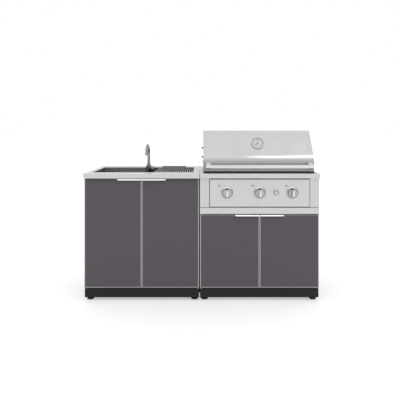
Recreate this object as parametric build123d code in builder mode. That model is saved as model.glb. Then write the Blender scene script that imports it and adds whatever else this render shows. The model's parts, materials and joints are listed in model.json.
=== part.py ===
from build123d import *
import math
import os

# Modular outdoor kitchen: a sink cabinet and a gas grill cabinet side by side, in millimetres.
# +Z is up, the doors face -Y, the origin is on the floor under the middle of the whole box.
# Depths named t are counted from the front edge of the countertop towards the back.

# Overall sizes
sink_width = 812.0
grill_width = 842.0
module_seam = 3.0
counter_height = 902.0
counter_depth = 610.0
counter_lip = 33.5
counter_sheet = 2.0
counter_edge_round = 1.4

# Plinth and levelling feet
foot_height = 24.0
plinth_height = 69.0
plinth_set = 36.0
plinth_back_set = 20.0
plinth_wall = 3.0
gusset_size = 74.0
gusset_sheet = 4.0
gusset_lift = 10.0
foot_inset_x = 32.0
foot_inset_t = 42.0
foot_pad_radius = 25.0
foot_pad_height = 12.0
foot_pad_edge = 3.0
foot_stem_radius = 6.0
foot_stem_spare = 24.0
foot_nut_radius = 11.0
foot_nut_height = 7.0
stem_clearance = 0.3

# Cabinets: folded side and back panels, floor and face frame
carcass_reveal = 2.0
carcass_back_set = 10.0
panel_fold = 20.0
back_fold = 15.0
panel_sheet = 1.5
floor_sheet = 3.0
frame_depth = 15.0
frame_stile = 25.0
frame_bottom_rail = 25.0
frame_top_drop = 30.0
frame_post = 40.0
frame_middle_below = 25.0
frame_middle_above = 30.0
pipe_hole_radius = 40.0
pipe_hole_height = 200.0
vent_length = 120.0
vent_height = 9.0
vent_pitch_x = 150.0
vent_pitch_z = 28.0
vent_columns = 4
vent_rows = 3
vent_level = 480.0

# Bolts that join the two cabinets, and the same holes on the free sides
join_front = 140.0
join_back_set = 90.0
join_low = 250.0
join_high_drop = 102.0
join_bolt_radius = 4.0
join_hole_radius = 4.5
join_head_radius = 9.0
join_head_height = 8.0
join_spacer_radius = 12.0
seam_strip_depth = 12.0
seam_strip_lift = 26.0

# Doors: aluminium edge frame, slate skin, edge pull, pins at top and bottom
door_set = 20.0
door_thick = 20.0
door_back_gap = 2.5
door_reveal = 3.3
door_gap = 3.0
door_top_gap = 7.0
door_bottom_gap = 5.0
door_sheet = 1.5
door_skin = 1.2
door_trim = 5.0
door_edge_round = 1.0
pivot_in = 6.0
pivot_back = 6.0
pivot_pin_radius = 3.0
pivot_pin_length = 14.0
pivot_clearance = 0.2
pivot_plate = 3.0
pivot_plate_rim = 7.0
pivot_top_room = 2.0
pivot_block = 14.0
pivot_block_height = 20.0
pull_length = 170.0
pull_reach = 22.0
pull_seat = 16.0
pull_sheet = 2.0
pull_drop = 8.5
pull_corner = 9.0
pull_end_gap = 0.8

# Sink basin under the countertop
basin_side = 43.0
basin_front = 87.0
basin_back = 126.0
basin_corner = 14.0
basin_sheet = 2.0
basin_flange = 14.0
ledge_drop = 10.0
ledge_width = 12.0
deck_drop = 40.0
deck_length = 77.0
bowl_drop = 212.0
drain_left = 140.0
drain_hole_radius = 45.0
drain_flange_radius = 56.0
drain_cup_radius = 43.0
drain_cup_wall = 2.5
drain_cup_depth = 52.0
tail_radius = 19.0
tail_wall = 2.0
tail_length = 40.0
drain_nut_height = 8.0
drain_nut_radius = 58.0
thread_clearance = 0.3

# Strainer basket
basket_clearance = 2.0
basket_wall = 1.2
basket_height = 46.0
basket_post_radius = 4.0
basket_knob_radius = 9.0
basket_knob_height = 12.0
basket_post_rise = 12.0
basket_hole_radius = 3.0
basket_hole_ring = 24.0
basket_hole_count = 12

# Drying rack on the basin ledge
rack_rod_radius = 2.6
rack_rod_pitch = 17.0
rack_tap_gap = 70.0
rack_end_gap = 2.0
rack_side_gap = 10.0
rack_bar_width = 8.0
rack_bar_height = 7.0
rack_bar_gap = 4.0
rack_bar_sink = 1.2
grip_width = 195.0
grip_height = 21.0
grip_sheet = 4.0
grip_set = 4.0
grip_left = 14.0
grip_corner = 9.0

# Tap on the recessed deck
tap_flange_radius = 27.0
tap_flange_height = 6.0
tap_body_radius = 22.0
tap_body_height = 54.0
tap_edge_round = 2.0
shank_radius = 14.0
shank_length = 62.0
shank_clearance = 1.0
tap_nut_radius = 25.0
tap_nut_height = 10.0
hub_radius = 15.0
hub_reach = 34.0
hub_level = 32.0
lever_pin_radius = 6.0
lever_pin_length = 12.0
lever_gap = 0.4
lever_cap = 11.0
lever_arm_radius = 5.0
lever_arm_length = 62.0
spigot_radius = 10.0
spigot_length = 28.0
spigot_clearance = 0.3
spout_collar_radius = 16.0
spout_collar_height = 10.0
spout_radius = 11.5
spout_wall = 2.0
spout_bend = 65.0
spout_rise = 194.0
aerator_radius = 13.5
aerator_height = 10.0

# Front of the grill cabinet
rail_drop = 284.0
rail_height = 43.5
front_set = 16.0
front_sheet = 1.5
front_gap = 3.5
panel_side = 71.0
panel_set = 12.0
panel_gap = 4.0
panel_top_gap = 8.0
panel_bottom_gap = 7.0

# Knobs, bezels, valve stems and igniter
knob_inset = 120.5
knob_drop = 133.0
knob_radius = 29.0
knob_back_gap = 6.0
knob_skirt = 14.0
knob_bar_width = 15.0
knob_bar_length = 52.0
knob_bar_height = 22.0
knob_edge_round = 2.5
knob_bore_depth = 25.0
stem_radius = 4.0
stem_bore_clearance = 0.2
stem_hole_clearance = 2.0
stem_seat = 20.0
stem_spare = 8.0
bezel_radius = 41.0
bezel_depth = 9.0
bezel_gap = 2.0
bezel_edge = 4.0
igniter_radius = 12.0
igniter_clearance = 0.4
igniter_collar_radius = 19.0
igniter_collar_depth = 7.0
igniter_tube_wall = 3.5
igniter_tube_length = 48.0
igniter_proud = 3.0
igniter_length = 28.0

# Gas train behind the control panel
valve_radius = 13.0
valve_gap = 12.0
valve_length = 38.0
nozzle_radius = 5.0
nozzle_length = 26.0
manifold_radius = 11.0
manifold_drop = 36.0
manifold_inset = 60.0
neck_radius = 8.0
inlet_radius = 8.0
inlet_end = 12.0
inlet_elbow = 20.0
inlet_drop = 51.0
inlet_reach = 93.0
inlet_collar_radius = 11.0
inlet_collar_start = 29.0
inlet_collar = 8.0
bracket_width = 16.0
bracket_height = 10.0

# Firebox and what lies in it
firebox_side = 44.0
firebox_front = 75.0
firebox_back_set = 55.0
firebox_depth = 202.0
firebox_sheet = 2.0
firebox_flange = 18.0
cutout_gap = 2.0
grease_hole_x = 300.0
grease_hole_t = 200.0
burner_radius = 20.0
burner_wall = 1.5
burner_clearance = 0.4
burner_start = 2.0
tent_half_width = 60.0
tent_rise = 35.0
tent_sheet = 2.0
tent_drop = 97.0
tent_ledge = 15.0
tent_end_gap = 2.0
grate_drop = 22.0
grate_thick = 12.0
grate_ledge = 12.0
ledge_sheet = 5.0
grate_gap = 2.0
grate_end_gap = 3.0
grate_border = 14.0
grate_slot = 9.0
grate_slot_count = 17
grate_cross = 14.0
tray_width = 396.0
tray_inset = 75.0
tray_depth = 22.0
tray_sheet = 1.5
tray_rim = 12.0
runner_drop = 16.0
runner_sheet = 2.0
runner_lip = 12.0
runner_gap = 2.0

# Hood
hood_side = 26.0
hood_front = 57.0
hood_lift = 10.0
hood_kick = 44.0
hood_bend = 127.0
hood_lean = 35.0
hood_rise = 290.0
hood_top_back_set = 180.0
hood_back_set = 75.0
hood_shoulder_rise = 178.0
hood_sheet = 1.5
hood_top_round = 14.0
hood_open_cut = 6.0
pivot_back_set = 110.0
pivot_rise = 38.0
pivot_wall_lift = 20.0
pivot_cap_drop = 20.0
pivot_cap_front = 30.0
hood_pin_radius = 5.0
hood_pin_head_radius = 9.0
hood_pin_head = 4.0
hood_pin_clearance = 0.2
side_plate_sheet = 3.0
side_plate_gap = 1.5
side_plate_ahead = 162.0
side_plate_rise = 133.0
side_plate_top_set = 30.0
side_plate_boss = 12.0
side_bolt_ahead = 200.0
side_bolt_low_rise = 88.0
side_bolt_high_rise = 158.0
side_bolt_head_radius = 7.0
side_bolt_head = 11.0
side_bolt_radius = 3.0
side_bolt_nut = 4.0

# Hood handle
handle_radius = 14.0
handle_wall = 1.5
handle_depth = 5.0
handle_rise = 37.0
bracket_end = 18.5
bracket_span = 34.0
bracket_top_rise = 82.0
bracket_low_rise = 19.0
bracket_root = 80.0
bracket_nose = 3.0

# Thermometer on the hood's slope
gauge_rise = 195.0
gauge_radius = 46.5
gauge_rim = 4.5
gauge_height = 12.0
gauge_floor = 4.0
gauge_edge = 2.5
gauge_stem_radius = 5.0
gauge_stem_length = 70.0
gauge_stem_clearance = 0.5
needle_length = 31.0
needle_tail = 9.0
needle_width = 3.4
needle_tip = 1.0
needle_hub_radius = 4.0
needle_lift = 2.0
needle_sheet = 1.2
needle_pin_radius = 1.5
needle_pin_length = 3.0
needle_pin_clearance = 0.2
needle_rest = 225.0

# Warming rack between the hood side plates
warm_rise = 118.0
warm_ahead = 154.0
warm_span = 114.0
warm_rail_radius = 4.0
warm_rod_radius = 2.5
warm_rod_count = 5
warm_cross_count = 6
warm_cross_pitch = 140.0
warm_clearance = 0.3

# Places worked out from the sizes above
total_width = sink_width + module_seam + grill_width
sink_x = (-total_width / 2, -total_width / 2 + sink_width)
grill_x = (total_width / 2 - grill_width, total_width / 2)
sink_mid = (sink_x[0] + sink_x[1]) / 2
grill_mid = (grill_x[0] + grill_x[1]) / 2
knob_back = panel_set - knob_back_gap
knob_face = knob_back - knob_skirt - knob_bar_height
front_y = -(counter_depth + knob_face) / 2
counter_under = counter_height - counter_sheet
lip_bottom = counter_height - counter_lip
plinth_top = foot_height + plinth_height
carcass_set = door_set + door_thick + door_back_gap
carcass_back = counter_depth - carcass_back_set
frame_back = carcass_set + frame_depth
floor_top = plinth_top + floor_sheet
door_bottom = plinth_top + door_bottom_gap
door_back = door_set + door_thick
join_back = counter_depth - join_back_set
join_high = counter_height - join_high_drop
basin_x = (sink_x[0] + basin_side, sink_x[1] - basin_side)
basin_t = (basin_front, counter_depth - basin_back)
ledge_z = counter_height - ledge_drop
rack_room = basin_x[1] - rack_side_gap - (sink_mid + rack_tap_gap)
rack_rod_count = int((rack_room - 2 * rack_rod_radius) // rack_rod_pitch) + 1
deck_z = counter_height - deck_drop
bowl_z = counter_height - bowl_drop
well_t = (basin_t[0] + ledge_width, basin_t[1] - ledge_width)
bowl_t = (well_t[0], well_t[1] - deck_length)
drain_x = sink_mid - drain_left
drain_t = (bowl_t[0] + bowl_t[1]) / 2
tap_t = well_t[1] - deck_length / 2
tap_base = deck_z + tap_flange_height
tap_top = tap_base + tap_body_height
hub_z = tap_base + hub_level
spout_top = counter_height + spout_rise
rail_low = counter_height - rail_drop
rail_high = rail_low + rail_height
panel_x = (grill_x[0] + panel_side, grill_x[1] - panel_side)
knob_pitch = (panel_x[1] - panel_x[0]) / 2 - knob_inset
knob_level = counter_height - knob_drop
knob_x = [grill_mid + step * knob_pitch for step in (-1, 0, 1)]
igniter_x = grill_mid + knob_pitch / 2
panel_z = (rail_high + panel_bottom_gap, lip_bottom - panel_top_gap)
firebox_x = (grill_x[0] + firebox_side, grill_x[1] - firebox_side)
firebox_t = (firebox_front, counter_depth - firebox_back_set)
firebox_floor = counter_height - firebox_depth
tent_level = counter_height - tent_drop
grate_level = counter_height - grate_drop
firebox_inner_x = (firebox_x[0] + firebox_sheet, firebox_x[1] - firebox_sheet)
firebox_inner_t = (firebox_t[0] + firebox_sheet, firebox_t[1] - firebox_sheet)
flange_top = counter_height + firebox_sheet
hood_x = (grill_x[0] + hood_side, grill_x[1] - hood_side)
hood_width = hood_x[1] - hood_x[0]
hood_base = counter_height + hood_lift
hood_top = hood_base + hood_rise
hood_shoulder = hood_base + hood_shoulder_rise
hood_top_back = counter_depth - hood_top_back_set
hood_back = counter_depth - hood_back_set
pivot_depth = counter_depth - pivot_back_set
pivot_level = hood_base + pivot_rise
side_plate_front = pivot_depth - side_plate_ahead
side_plate_top = hood_base + side_plate_rise
side_plate_top_back = pivot_depth - side_plate_top_set
side_bolt_depth = pivot_depth - side_bolt_ahead
handle_level = hood_base + handle_rise
gauge_level = hood_base + gauge_rise
warm_level = hood_base + warm_rise
warm_front = pivot_depth - warm_ahead
warm_back = warm_front + warm_span
lean = math.radians(hood_lean)
bend_z = hood_base + hood_kick + hood_bend * math.sin(lean)
bend_t = hood_front + hood_bend * (1 - math.cos(lean))
crest_t = bend_t + (hood_top - bend_z) * math.tan(lean)

os.makedirs("parts", exist_ok=True)


def save(name, builder):
    builder.part.label = name
    export_step(builder.part, f"parts/{name}.step")


def at(t):
    """Y of a depth behind the countertop's front edge."""
    return front_y + t


def slab(x, t, z, mode=Mode.ADD):
    """A box between low and high pairs of X, depth and height."""
    middle = ((x[0] + x[1]) / 2, at((t[0] + t[1]) / 2), (z[0] + z[1]) / 2)
    with Locations(middle):
        Box(x[1] - x[0], t[1] - t[0], z[1] - z[0], mode=mode)


def rod_x(x, t, z, radius, mode=Mode.ADD):
    with Locations(((x[0] + x[1]) / 2, at(t), z)):
        Cylinder(radius, x[1] - x[0], rotation=(0, 90, 0), mode=mode)


def rod_t(x, t, z, radius, mode=Mode.ADD):
    with Locations((x, at((t[0] + t[1]) / 2), z)):
        Cylinder(radius, t[1] - t[0], rotation=(90, 0, 0), mode=mode)


def rod_z(x, t, z, radius, mode=Mode.ADD):
    with Locations((x, at(t), (z[0] + z[1]) / 2)):
        Cylinder(radius, z[1] - z[0], mode=mode)


def shrink(pair, amount):
    return (pair[0] + amount, pair[1] - amount)


def about(middle, half):
    return (middle - half, middle + half)


# Cabinets


def carcass_of(module_x):
    return shrink(module_x, carcass_reveal)


def make_sides(name, module_x):
    """Two folded pans that open inwards, with the joining holes in their skins."""
    x = carcass_of(module_x)
    t = (frame_back, carcass_back)
    z = (plinth_top, counter_under)
    with BuildPart() as sides:
        for outer, inward in ((x[0], 1), (x[1], -1)):
            slab(sorted((outer, outer + inward * panel_fold)), t, z)
            hollow = sorted((outer + inward * panel_sheet, outer + inward * (panel_fold + 1)))
            slab(hollow, shrink(t, panel_sheet), shrink(z, panel_sheet), Mode.SUBTRACT)
            skin = about(outer, panel_sheet + 1)
            for depth in (join_front, join_back):
                for level in (join_low, join_high):
                    rod_x(skin, depth, level, join_hole_radius, Mode.SUBTRACT)
    save(name, sides)


def back_space(module_x):
    x = shrink(carcass_of(module_x), panel_fold)
    return x, (carcass_back - back_fold, carcass_back), (floor_top, counter_under)


def back_pan(x, t, z):
    slab(x, t, z)
    hollow_t = (t[0] - 1, t[1] - panel_sheet)
    slab(shrink(x, panel_sheet), hollow_t, shrink(z, panel_sheet), Mode.SUBTRACT)


def make_floor(name, module_x):
    with BuildPart() as floor:
        x = shrink(carcass_of(module_x), panel_fold)
        slab(x, (frame_back, carcass_back), (plinth_top, floor_top))
    save(name, floor)


def make_plinth(name, module_x):
    """Four thin boards with a gusset in each corner for the foot stem."""
    x = carcass_of(module_x)
    t = (plinth_set, counter_depth - plinth_back_set)
    z = (foot_height, plinth_top)
    gusset_z = (foot_height + gusset_lift, foot_height + gusset_lift + gusset_sheet)
    with BuildPart() as plinth:
        slab(x, t, z)
        slab(shrink(x, plinth_wall), shrink(t, plinth_wall), (z[0] - 1, z[1] + 1), Mode.SUBTRACT)
        for foot_x, foot_t in feet_of(module_x):
            near_x = min(x, key=lambda edge: abs(edge - foot_x))
            near_t = min(t, key=lambda edge: abs(edge - foot_t))
            inward_x = math.copysign(gusset_size, foot_x - near_x)
            inward_t = math.copysign(gusset_size, foot_t - near_t)
            slab(sorted((near_x, near_x + inward_x)), sorted((near_t, near_t + inward_t)), gusset_z)
            rod_z(foot_x, foot_t, gusset_z, foot_stem_radius + stem_clearance, Mode.SUBTRACT)
    save(name, plinth)


def feet_of(module_x):
    x = shrink(carcass_of(module_x), foot_inset_x)
    t = shrink((plinth_set, counter_depth - plinth_back_set), foot_inset_t)
    return [(foot_x, foot_t) for foot_x in x for foot_t in t]


make_sides("sink_cabinet_sides", sink_x)
make_sides("grill_cabinet_sides", grill_x)
make_floor("sink_cabinet_floor", sink_x)
make_floor("grill_cabinet_floor", grill_x)
make_plinth("sink_plinth", sink_x)
make_plinth("grill_plinth", grill_x)

with BuildPart() as sink_cabinet_back:
    back_pan(*back_space(sink_x))
    sheet_t = (carcass_back - back_fold, carcass_back)
    rod_t(sink_mid, sheet_t, pipe_hole_height, pipe_hole_radius, Mode.SUBTRACT)
save("sink_cabinet_back", sink_cabinet_back)

with BuildPart() as grill_cabinet_back:
    back_pan(*back_space(grill_x))
    vent_place = (grill_mid, at(carcass_back), vent_level)
    with BuildSketch(Plane(origin=vent_place, x_dir=(1, 0, 0), z_dir=(0, -1, 0))):
        with GridLocations(vent_pitch_x, vent_pitch_z, vent_columns, vent_rows):
            SlotOverall(vent_length, vent_height)
    extrude(amount=back_fold, mode=Mode.SUBTRACT)
save("grill_cabinet_back", grill_cabinet_back)

with BuildPart() as sink_face_frame:
    frame_x = carcass_of(sink_x)
    frame_t = (carcass_set, frame_back)
    slab(frame_x, frame_t, (plinth_top, counter_under))
    opening_z = (plinth_top + frame_bottom_rail, lip_bottom - frame_top_drop)
    slab(shrink(frame_x, frame_stile), frame_t, opening_z, Mode.SUBTRACT)
    slab(about(sink_mid, frame_post / 2), frame_t, opening_z)
save("sink_face_frame", sink_face_frame)

with BuildPart() as grill_face_frame:
    frame_x = carcass_of(grill_x)
    slab(frame_x, frame_t, (plinth_top, counter_under))
    middle_rail = (rail_low - frame_middle_below, rail_low + frame_middle_above)
    door_space = (plinth_top + frame_bottom_rail, middle_rail[0])
    slab(shrink(frame_x, frame_stile), frame_t, door_space, Mode.SUBTRACT)
    slab(shrink(frame_x, frame_stile), frame_t, (middle_rail[1], counter_under), Mode.SUBTRACT)
    slab(about(grill_mid, frame_post / 2), frame_t, door_space)
save("grill_face_frame", grill_face_frame)

with BuildPart() as levelling_feet:
    gusset_low = foot_height + gusset_lift
    gusset_high = gusset_low + gusset_sheet
    for foot_x, foot_t in feet_of(sink_x) + feet_of(grill_x):
        with BuildSketch(Plane.XY):
            with Locations((foot_x, at(foot_t))):
                Circle(foot_pad_radius)
        extrude(amount=foot_pad_height)
        rod_z(foot_x, foot_t, (foot_pad_height, gusset_high + foot_stem_spare), foot_stem_radius)
        for nut_z in (gusset_low - foot_nut_height, gusset_high):
            with BuildSketch(Plane.XY.offset(nut_z)):
                with Locations((foot_x, at(foot_t))):
                    RegularPolygon(foot_nut_radius, 6)
            extrude(amount=foot_nut_height)
    pad_rims = levelling_feet.edges().filter_by(GeomType.CIRCLE).group_by(Axis.Z)
    pad_top = [rim for group in pad_rims[:2] for rim in group if rim.radius > foot_nut_radius]
    chamfer(pad_top, foot_pad_edge)
save("levelling_feet", levelling_feet)

with BuildPart() as module_joining_set:
    sink_skin = carcass_of(sink_x)[1]
    grill_skin = carcass_of(grill_x)[0]
    head_x = (sink_skin - panel_sheet - join_head_height, sink_skin - panel_sheet)
    nut_x = (grill_skin + panel_sheet, grill_skin + panel_sheet + join_head_height)
    for depth in (join_front, join_back):
        for level in (join_low, join_high):
            rod_x((head_x[0], nut_x[1]), depth, level, join_bolt_radius)
            rod_x(head_x, depth, level, join_head_radius)
            rod_x(nut_x, depth, level, join_head_radius)
            rod_x((sink_skin, grill_skin), depth, level, join_spacer_radius)
    strip_t = (frame_back, frame_back + seam_strip_depth)
    slab((sink_skin, grill_skin), strip_t, (foot_height + seam_strip_lift, lip_bottom))
save("module_joining_set", module_joining_set)


# Countertops


def counter_tray(module_x):
    """A sheet with lips turned down on all four sides."""
    slab(module_x, (0, counter_depth), (lip_bottom, counter_height))
    inside_t = shrink((0, counter_depth), counter_sheet)
    slab(shrink(module_x, counter_sheet), inside_t, (lip_bottom - 1, counter_under), Mode.SUBTRACT)


def rounded_slab(x, t, z, corner, mode=Mode.ADD):
    """A box whose upright edges are rounded."""
    middle = ((x[0] + x[1]) / 2, at((t[0] + t[1]) / 2))
    with BuildSketch(Plane.XY.offset(z[0])) as plan:
        with Locations(middle):
            RectangleRounded(x[1] - x[0], t[1] - t[0], corner)
    extrude(plan.sketch, amount=z[1] - z[0], mode=mode)


with BuildPart() as sink_countertop:
    counter_tray(sink_x)
    fillet(sink_countertop.faces().sort_by(Axis.Z)[-1].edges(), counter_edge_round)
    rounded_slab(basin_x, basin_t, (counter_under, counter_height), basin_corner, Mode.SUBTRACT)
save("sink_countertop", sink_countertop)

with BuildPart() as grill_countertop:
    counter_tray(grill_x)
    fillet(grill_countertop.faces().sort_by(Axis.Z)[-1].edges(), counter_edge_round)
    cutout_x = shrink(firebox_x, -cutout_gap)
    cutout_t = shrink(firebox_t, -cutout_gap)
    slab(cutout_x, cutout_t, (counter_under - 1, counter_height + 1), Mode.SUBTRACT)
save("grill_countertop", grill_countertop)

# Sink

with BuildPart() as sink_basin:
    wall = -basin_sheet
    flange_x = shrink(basin_x, -basin_flange)
    flange_t = shrink(basin_t, -basin_flange)
    rounded_slab(flange_x, flange_t, (counter_under - basin_sheet, counter_under), basin_corner)
    outer_corner = basin_corner + basin_sheet
    outer_x = shrink(basin_x, wall)
    rounded_slab(outer_x, shrink(basin_t, wall), (ledge_z - basin_sheet, counter_under), outer_corner)
    rounded_slab(outer_x, shrink(well_t, wall), (deck_z - basin_sheet, ledge_z), outer_corner)
    rounded_slab(outer_x, shrink(bowl_t, wall), (bowl_z - basin_sheet, deck_z), outer_corner)
    rounded_slab(basin_x, basin_t, (ledge_z, counter_under), basin_corner, Mode.SUBTRACT)
    rounded_slab(basin_x, well_t, (deck_z, ledge_z), basin_corner, Mode.SUBTRACT)
    rounded_slab(basin_x, bowl_t, (bowl_z, deck_z), basin_corner, Mode.SUBTRACT)
    floor_z = (bowl_z - basin_sheet, bowl_z)
    rod_z(drain_x, drain_t, floor_z, drain_hole_radius, Mode.SUBTRACT)
    deck_sheet_z = (deck_z - basin_sheet, deck_z)
    rod_z(sink_mid, tap_t, deck_sheet_z, shank_radius + shank_clearance, Mode.SUBTRACT)
save("sink_basin", sink_basin)

drain_plane = Plane(origin=(drain_x, at(drain_t), bowl_z), x_dir=(1, 0, 0), z_dir=(0, -1, 0))
cup_inner = drain_cup_radius - drain_cup_wall
cup_floor = basin_sheet - drain_cup_depth
with BuildPart() as drain_fitting:
    tail_end = cup_floor - drain_cup_wall - tail_length
    with BuildSketch(drain_plane):
        Polygon(
            (drain_flange_radius, 0),
            (drain_flange_radius, basin_sheet),
            (cup_inner, basin_sheet),
            (cup_inner, cup_floor),
            (tail_radius - tail_wall, cup_floor),
            (tail_radius - tail_wall, tail_end),
            (tail_radius, tail_end),
            (tail_radius, cup_floor - drain_cup_wall),
            (drain_cup_radius, cup_floor - drain_cup_wall),
            (drain_cup_radius, 0),
            align=None,
        )
    revolve(axis=Axis((drain_x, at(drain_t), 0), (0, 0, 1)))
    nut_z = (bowl_z - basin_sheet - drain_nut_height, bowl_z - basin_sheet)
    with BuildSketch(Plane.XY.offset(nut_z[0])):
        with Locations((drain_x, at(drain_t))):
            Circle(drain_nut_radius)
            Circle(drain_cup_radius + thread_clearance, mode=Mode.SUBTRACT)
    extrude(amount=drain_nut_height)
save("drain_fitting", drain_fitting)

with BuildPart() as strainer_basket:
    basket_z = (bowl_z + cup_floor, bowl_z + cup_floor + basket_height)
    basket_radius = cup_inner - basket_clearance
    rod_z(drain_x, drain_t, basket_z, basket_radius)
    hollow_z = (basket_z[0] + basket_wall, basket_z[1])
    rod_z(drain_x, drain_t, hollow_z, basket_radius - basket_wall, Mode.SUBTRACT)
    with BuildSketch(Plane.XY.offset(basket_z[0])):
        with Locations((drain_x, at(drain_t))):
            with PolarLocations(basket_hole_ring, basket_hole_count):
                Circle(basket_hole_radius)
    extrude(amount=basket_wall, mode=Mode.SUBTRACT)
    post_top = basket_z[1] + basket_post_rise
    rod_z(drain_x, drain_t, (basket_z[0], post_top), basket_post_radius)
    rod_z(drain_x, drain_t, (post_top, post_top + basket_knob_height), basket_knob_radius)
    knob_rims = strainer_basket.edges().filter_by(GeomType.CIRCLE).group_by(Axis.Z)[-1]
    fillet(knob_rims, basket_knob_height / 3)
save("strainer_basket", strainer_basket)

with BuildPart() as drying_rack:
    rod_z_level = ledge_z + rack_rod_radius
    first_rod = basin_x[1] - rack_side_gap - rack_rod_radius - (rack_rod_count - 1) * rack_rod_pitch
    rods = [first_rod + step * rack_rod_pitch for step in range(rack_rod_count)]
    rod_span = shrink(basin_t, rack_end_gap)
    for rod in rods:
        rod_t(rod, rod_span, rod_z_level, rack_rod_radius)
    bar_x = (rods[0] - rack_rod_radius, rods[-1] + rack_rod_radius)
    bar_z = (rod_z_level - rack_bar_height, rod_z_level - rack_bar_sink)
    front_bar = well_t[0] + rack_bar_gap
    rear_bar = well_t[1] - rack_bar_gap - rack_bar_width
    for bar_start in (front_bar, rear_bar):
        slab(bar_x, (bar_start, bar_start + rack_bar_width), bar_z)
    grip_mid = (rods[0] + rods[-1]) / 2 - grip_left
    grip_back = basin_t[1] - grip_set
    grip_place = (grip_mid, at(grip_back), bar_z[1])
    with BuildSketch(Plane(origin=grip_place, x_dir=(1, 0, 0), z_dir=(0, -1, 0))) as grip:
        with Locations((0, grip_height / 2)):
            Rectangle(grip_width, grip_height)
        fillet(grip.vertices().group_by(Axis.Z)[-1], grip_corner)
    extrude(amount=grip_sheet)
save("drying_rack", drying_rack)

# Tap

with BuildPart() as faucet_body:
    rod_z(sink_mid, tap_t, (deck_z, tap_base), tap_flange_radius)
    rod_z(sink_mid, tap_t, (tap_base, tap_top), tap_body_radius)
    rod_x((sink_mid, sink_mid + hub_reach), tap_t, hub_z, hub_radius)
    top_rims = faucet_body.edges().filter_by(GeomType.CIRCLE).group_by(Axis.Z)[-1]
    fillet(top_rims, tap_edge_round)
    rod_z(sink_mid, tap_t, (deck_z - shank_length, deck_z), shank_radius)
    bore_z = (tap_top - spigot_length - 1, tap_top)
    rod_z(sink_mid, tap_t, bore_z, spigot_radius + spigot_clearance, Mode.SUBTRACT)
    pin_bore = (sink_mid + hub_reach - lever_pin_length - 1, sink_mid + hub_reach)
    rod_x(pin_bore, tap_t, hub_z, lever_pin_radius + spigot_clearance, Mode.SUBTRACT)
save("faucet_body", faucet_body)

with BuildPart() as faucet_mount_nut:
    nut_top = deck_z - basin_sheet
    with BuildSketch(Plane.XY.offset(nut_top - tap_nut_height)):
        with Locations((sink_mid, at(tap_t))):
            RegularPolygon(tap_nut_radius, 6)
            Circle(shank_radius + thread_clearance, mode=Mode.SUBTRACT)
    extrude(amount=tap_nut_height)
save("faucet_mount_nut", faucet_mount_nut)

spout_foot = tap_top + spout_collar_height
bend_centre_z = spout_top - spout_radius - spout_bend
with BuildPart() as faucet_spout:
    rod_z(sink_mid, tap_t, (tap_top - spigot_length, tap_top), spigot_radius)
    rod_z(sink_mid, tap_t, (tap_top, spout_foot), spout_collar_radius)
    tap_place = (sink_mid, at(tap_t), 0)
    with BuildLine(Plane(origin=tap_place, x_dir=(0, -1, 0), z_dir=(-1, 0, 0))) as spout_path:
        Line((0, spout_foot), (0, bend_centre_z))
        CenterArc((spout_bend, bend_centre_z), spout_bend, 180, -180)
    with BuildSketch(Plane(origin=(sink_mid, at(tap_t), spout_foot))):
        Circle(spout_radius)
        Circle(spout_radius - spout_wall, mode=Mode.SUBTRACT)
    sweep(path=spout_path.wires()[0])
save("faucet_spout", faucet_spout)

with BuildPart() as faucet_aerator:
    outlet_t = tap_t - 2 * spout_bend
    with BuildSketch(Plane.XY.offset(bend_centre_z - aerator_height)):
        with Locations((sink_mid, at(outlet_t))):
            Circle(aerator_radius)
            Circle(spout_radius - spout_wall, mode=Mode.SUBTRACT)
    extrude(amount=aerator_height)
save("faucet_aerator", faucet_aerator)

with BuildPart() as faucet_lever:
    cap_x = (sink_mid + hub_reach + lever_gap, sink_mid + hub_reach + lever_gap + lever_cap)
    rod_x(cap_x, tap_t, hub_z, hub_radius)
    arm_x = (cap_x[0] + cap_x[1]) / 2
    rod_t(arm_x, (tap_t - lever_arm_length, tap_t), hub_z, lever_arm_radius)
    fillet(faucet_lever.edges().filter_by(GeomType.CIRCLE).sort_by(Axis.Y)[0], lever_arm_radius / 2)
    rod_x((cap_x[0] - lever_pin_length, cap_x[0]), tap_t, hub_z, lever_pin_radius)
save("faucet_lever", faucet_lever)


# Doors


def door_pairs(module_x, top):
    """The left and right door of a cabinet as (side, hinge edge, free edge, top)."""
    middle = (module_x[0] + module_x[1]) / 2
    edges = shrink(module_x, door_reveal)
    left = ("left", edges[0], middle - door_gap / 2, top)
    right = ("right", edges[1], middle + door_gap / 2, top)
    return left, right


def pivot_of(hinge_edge, free_edge):
    return hinge_edge + math.copysign(pivot_in, free_edge - hinge_edge)


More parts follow.
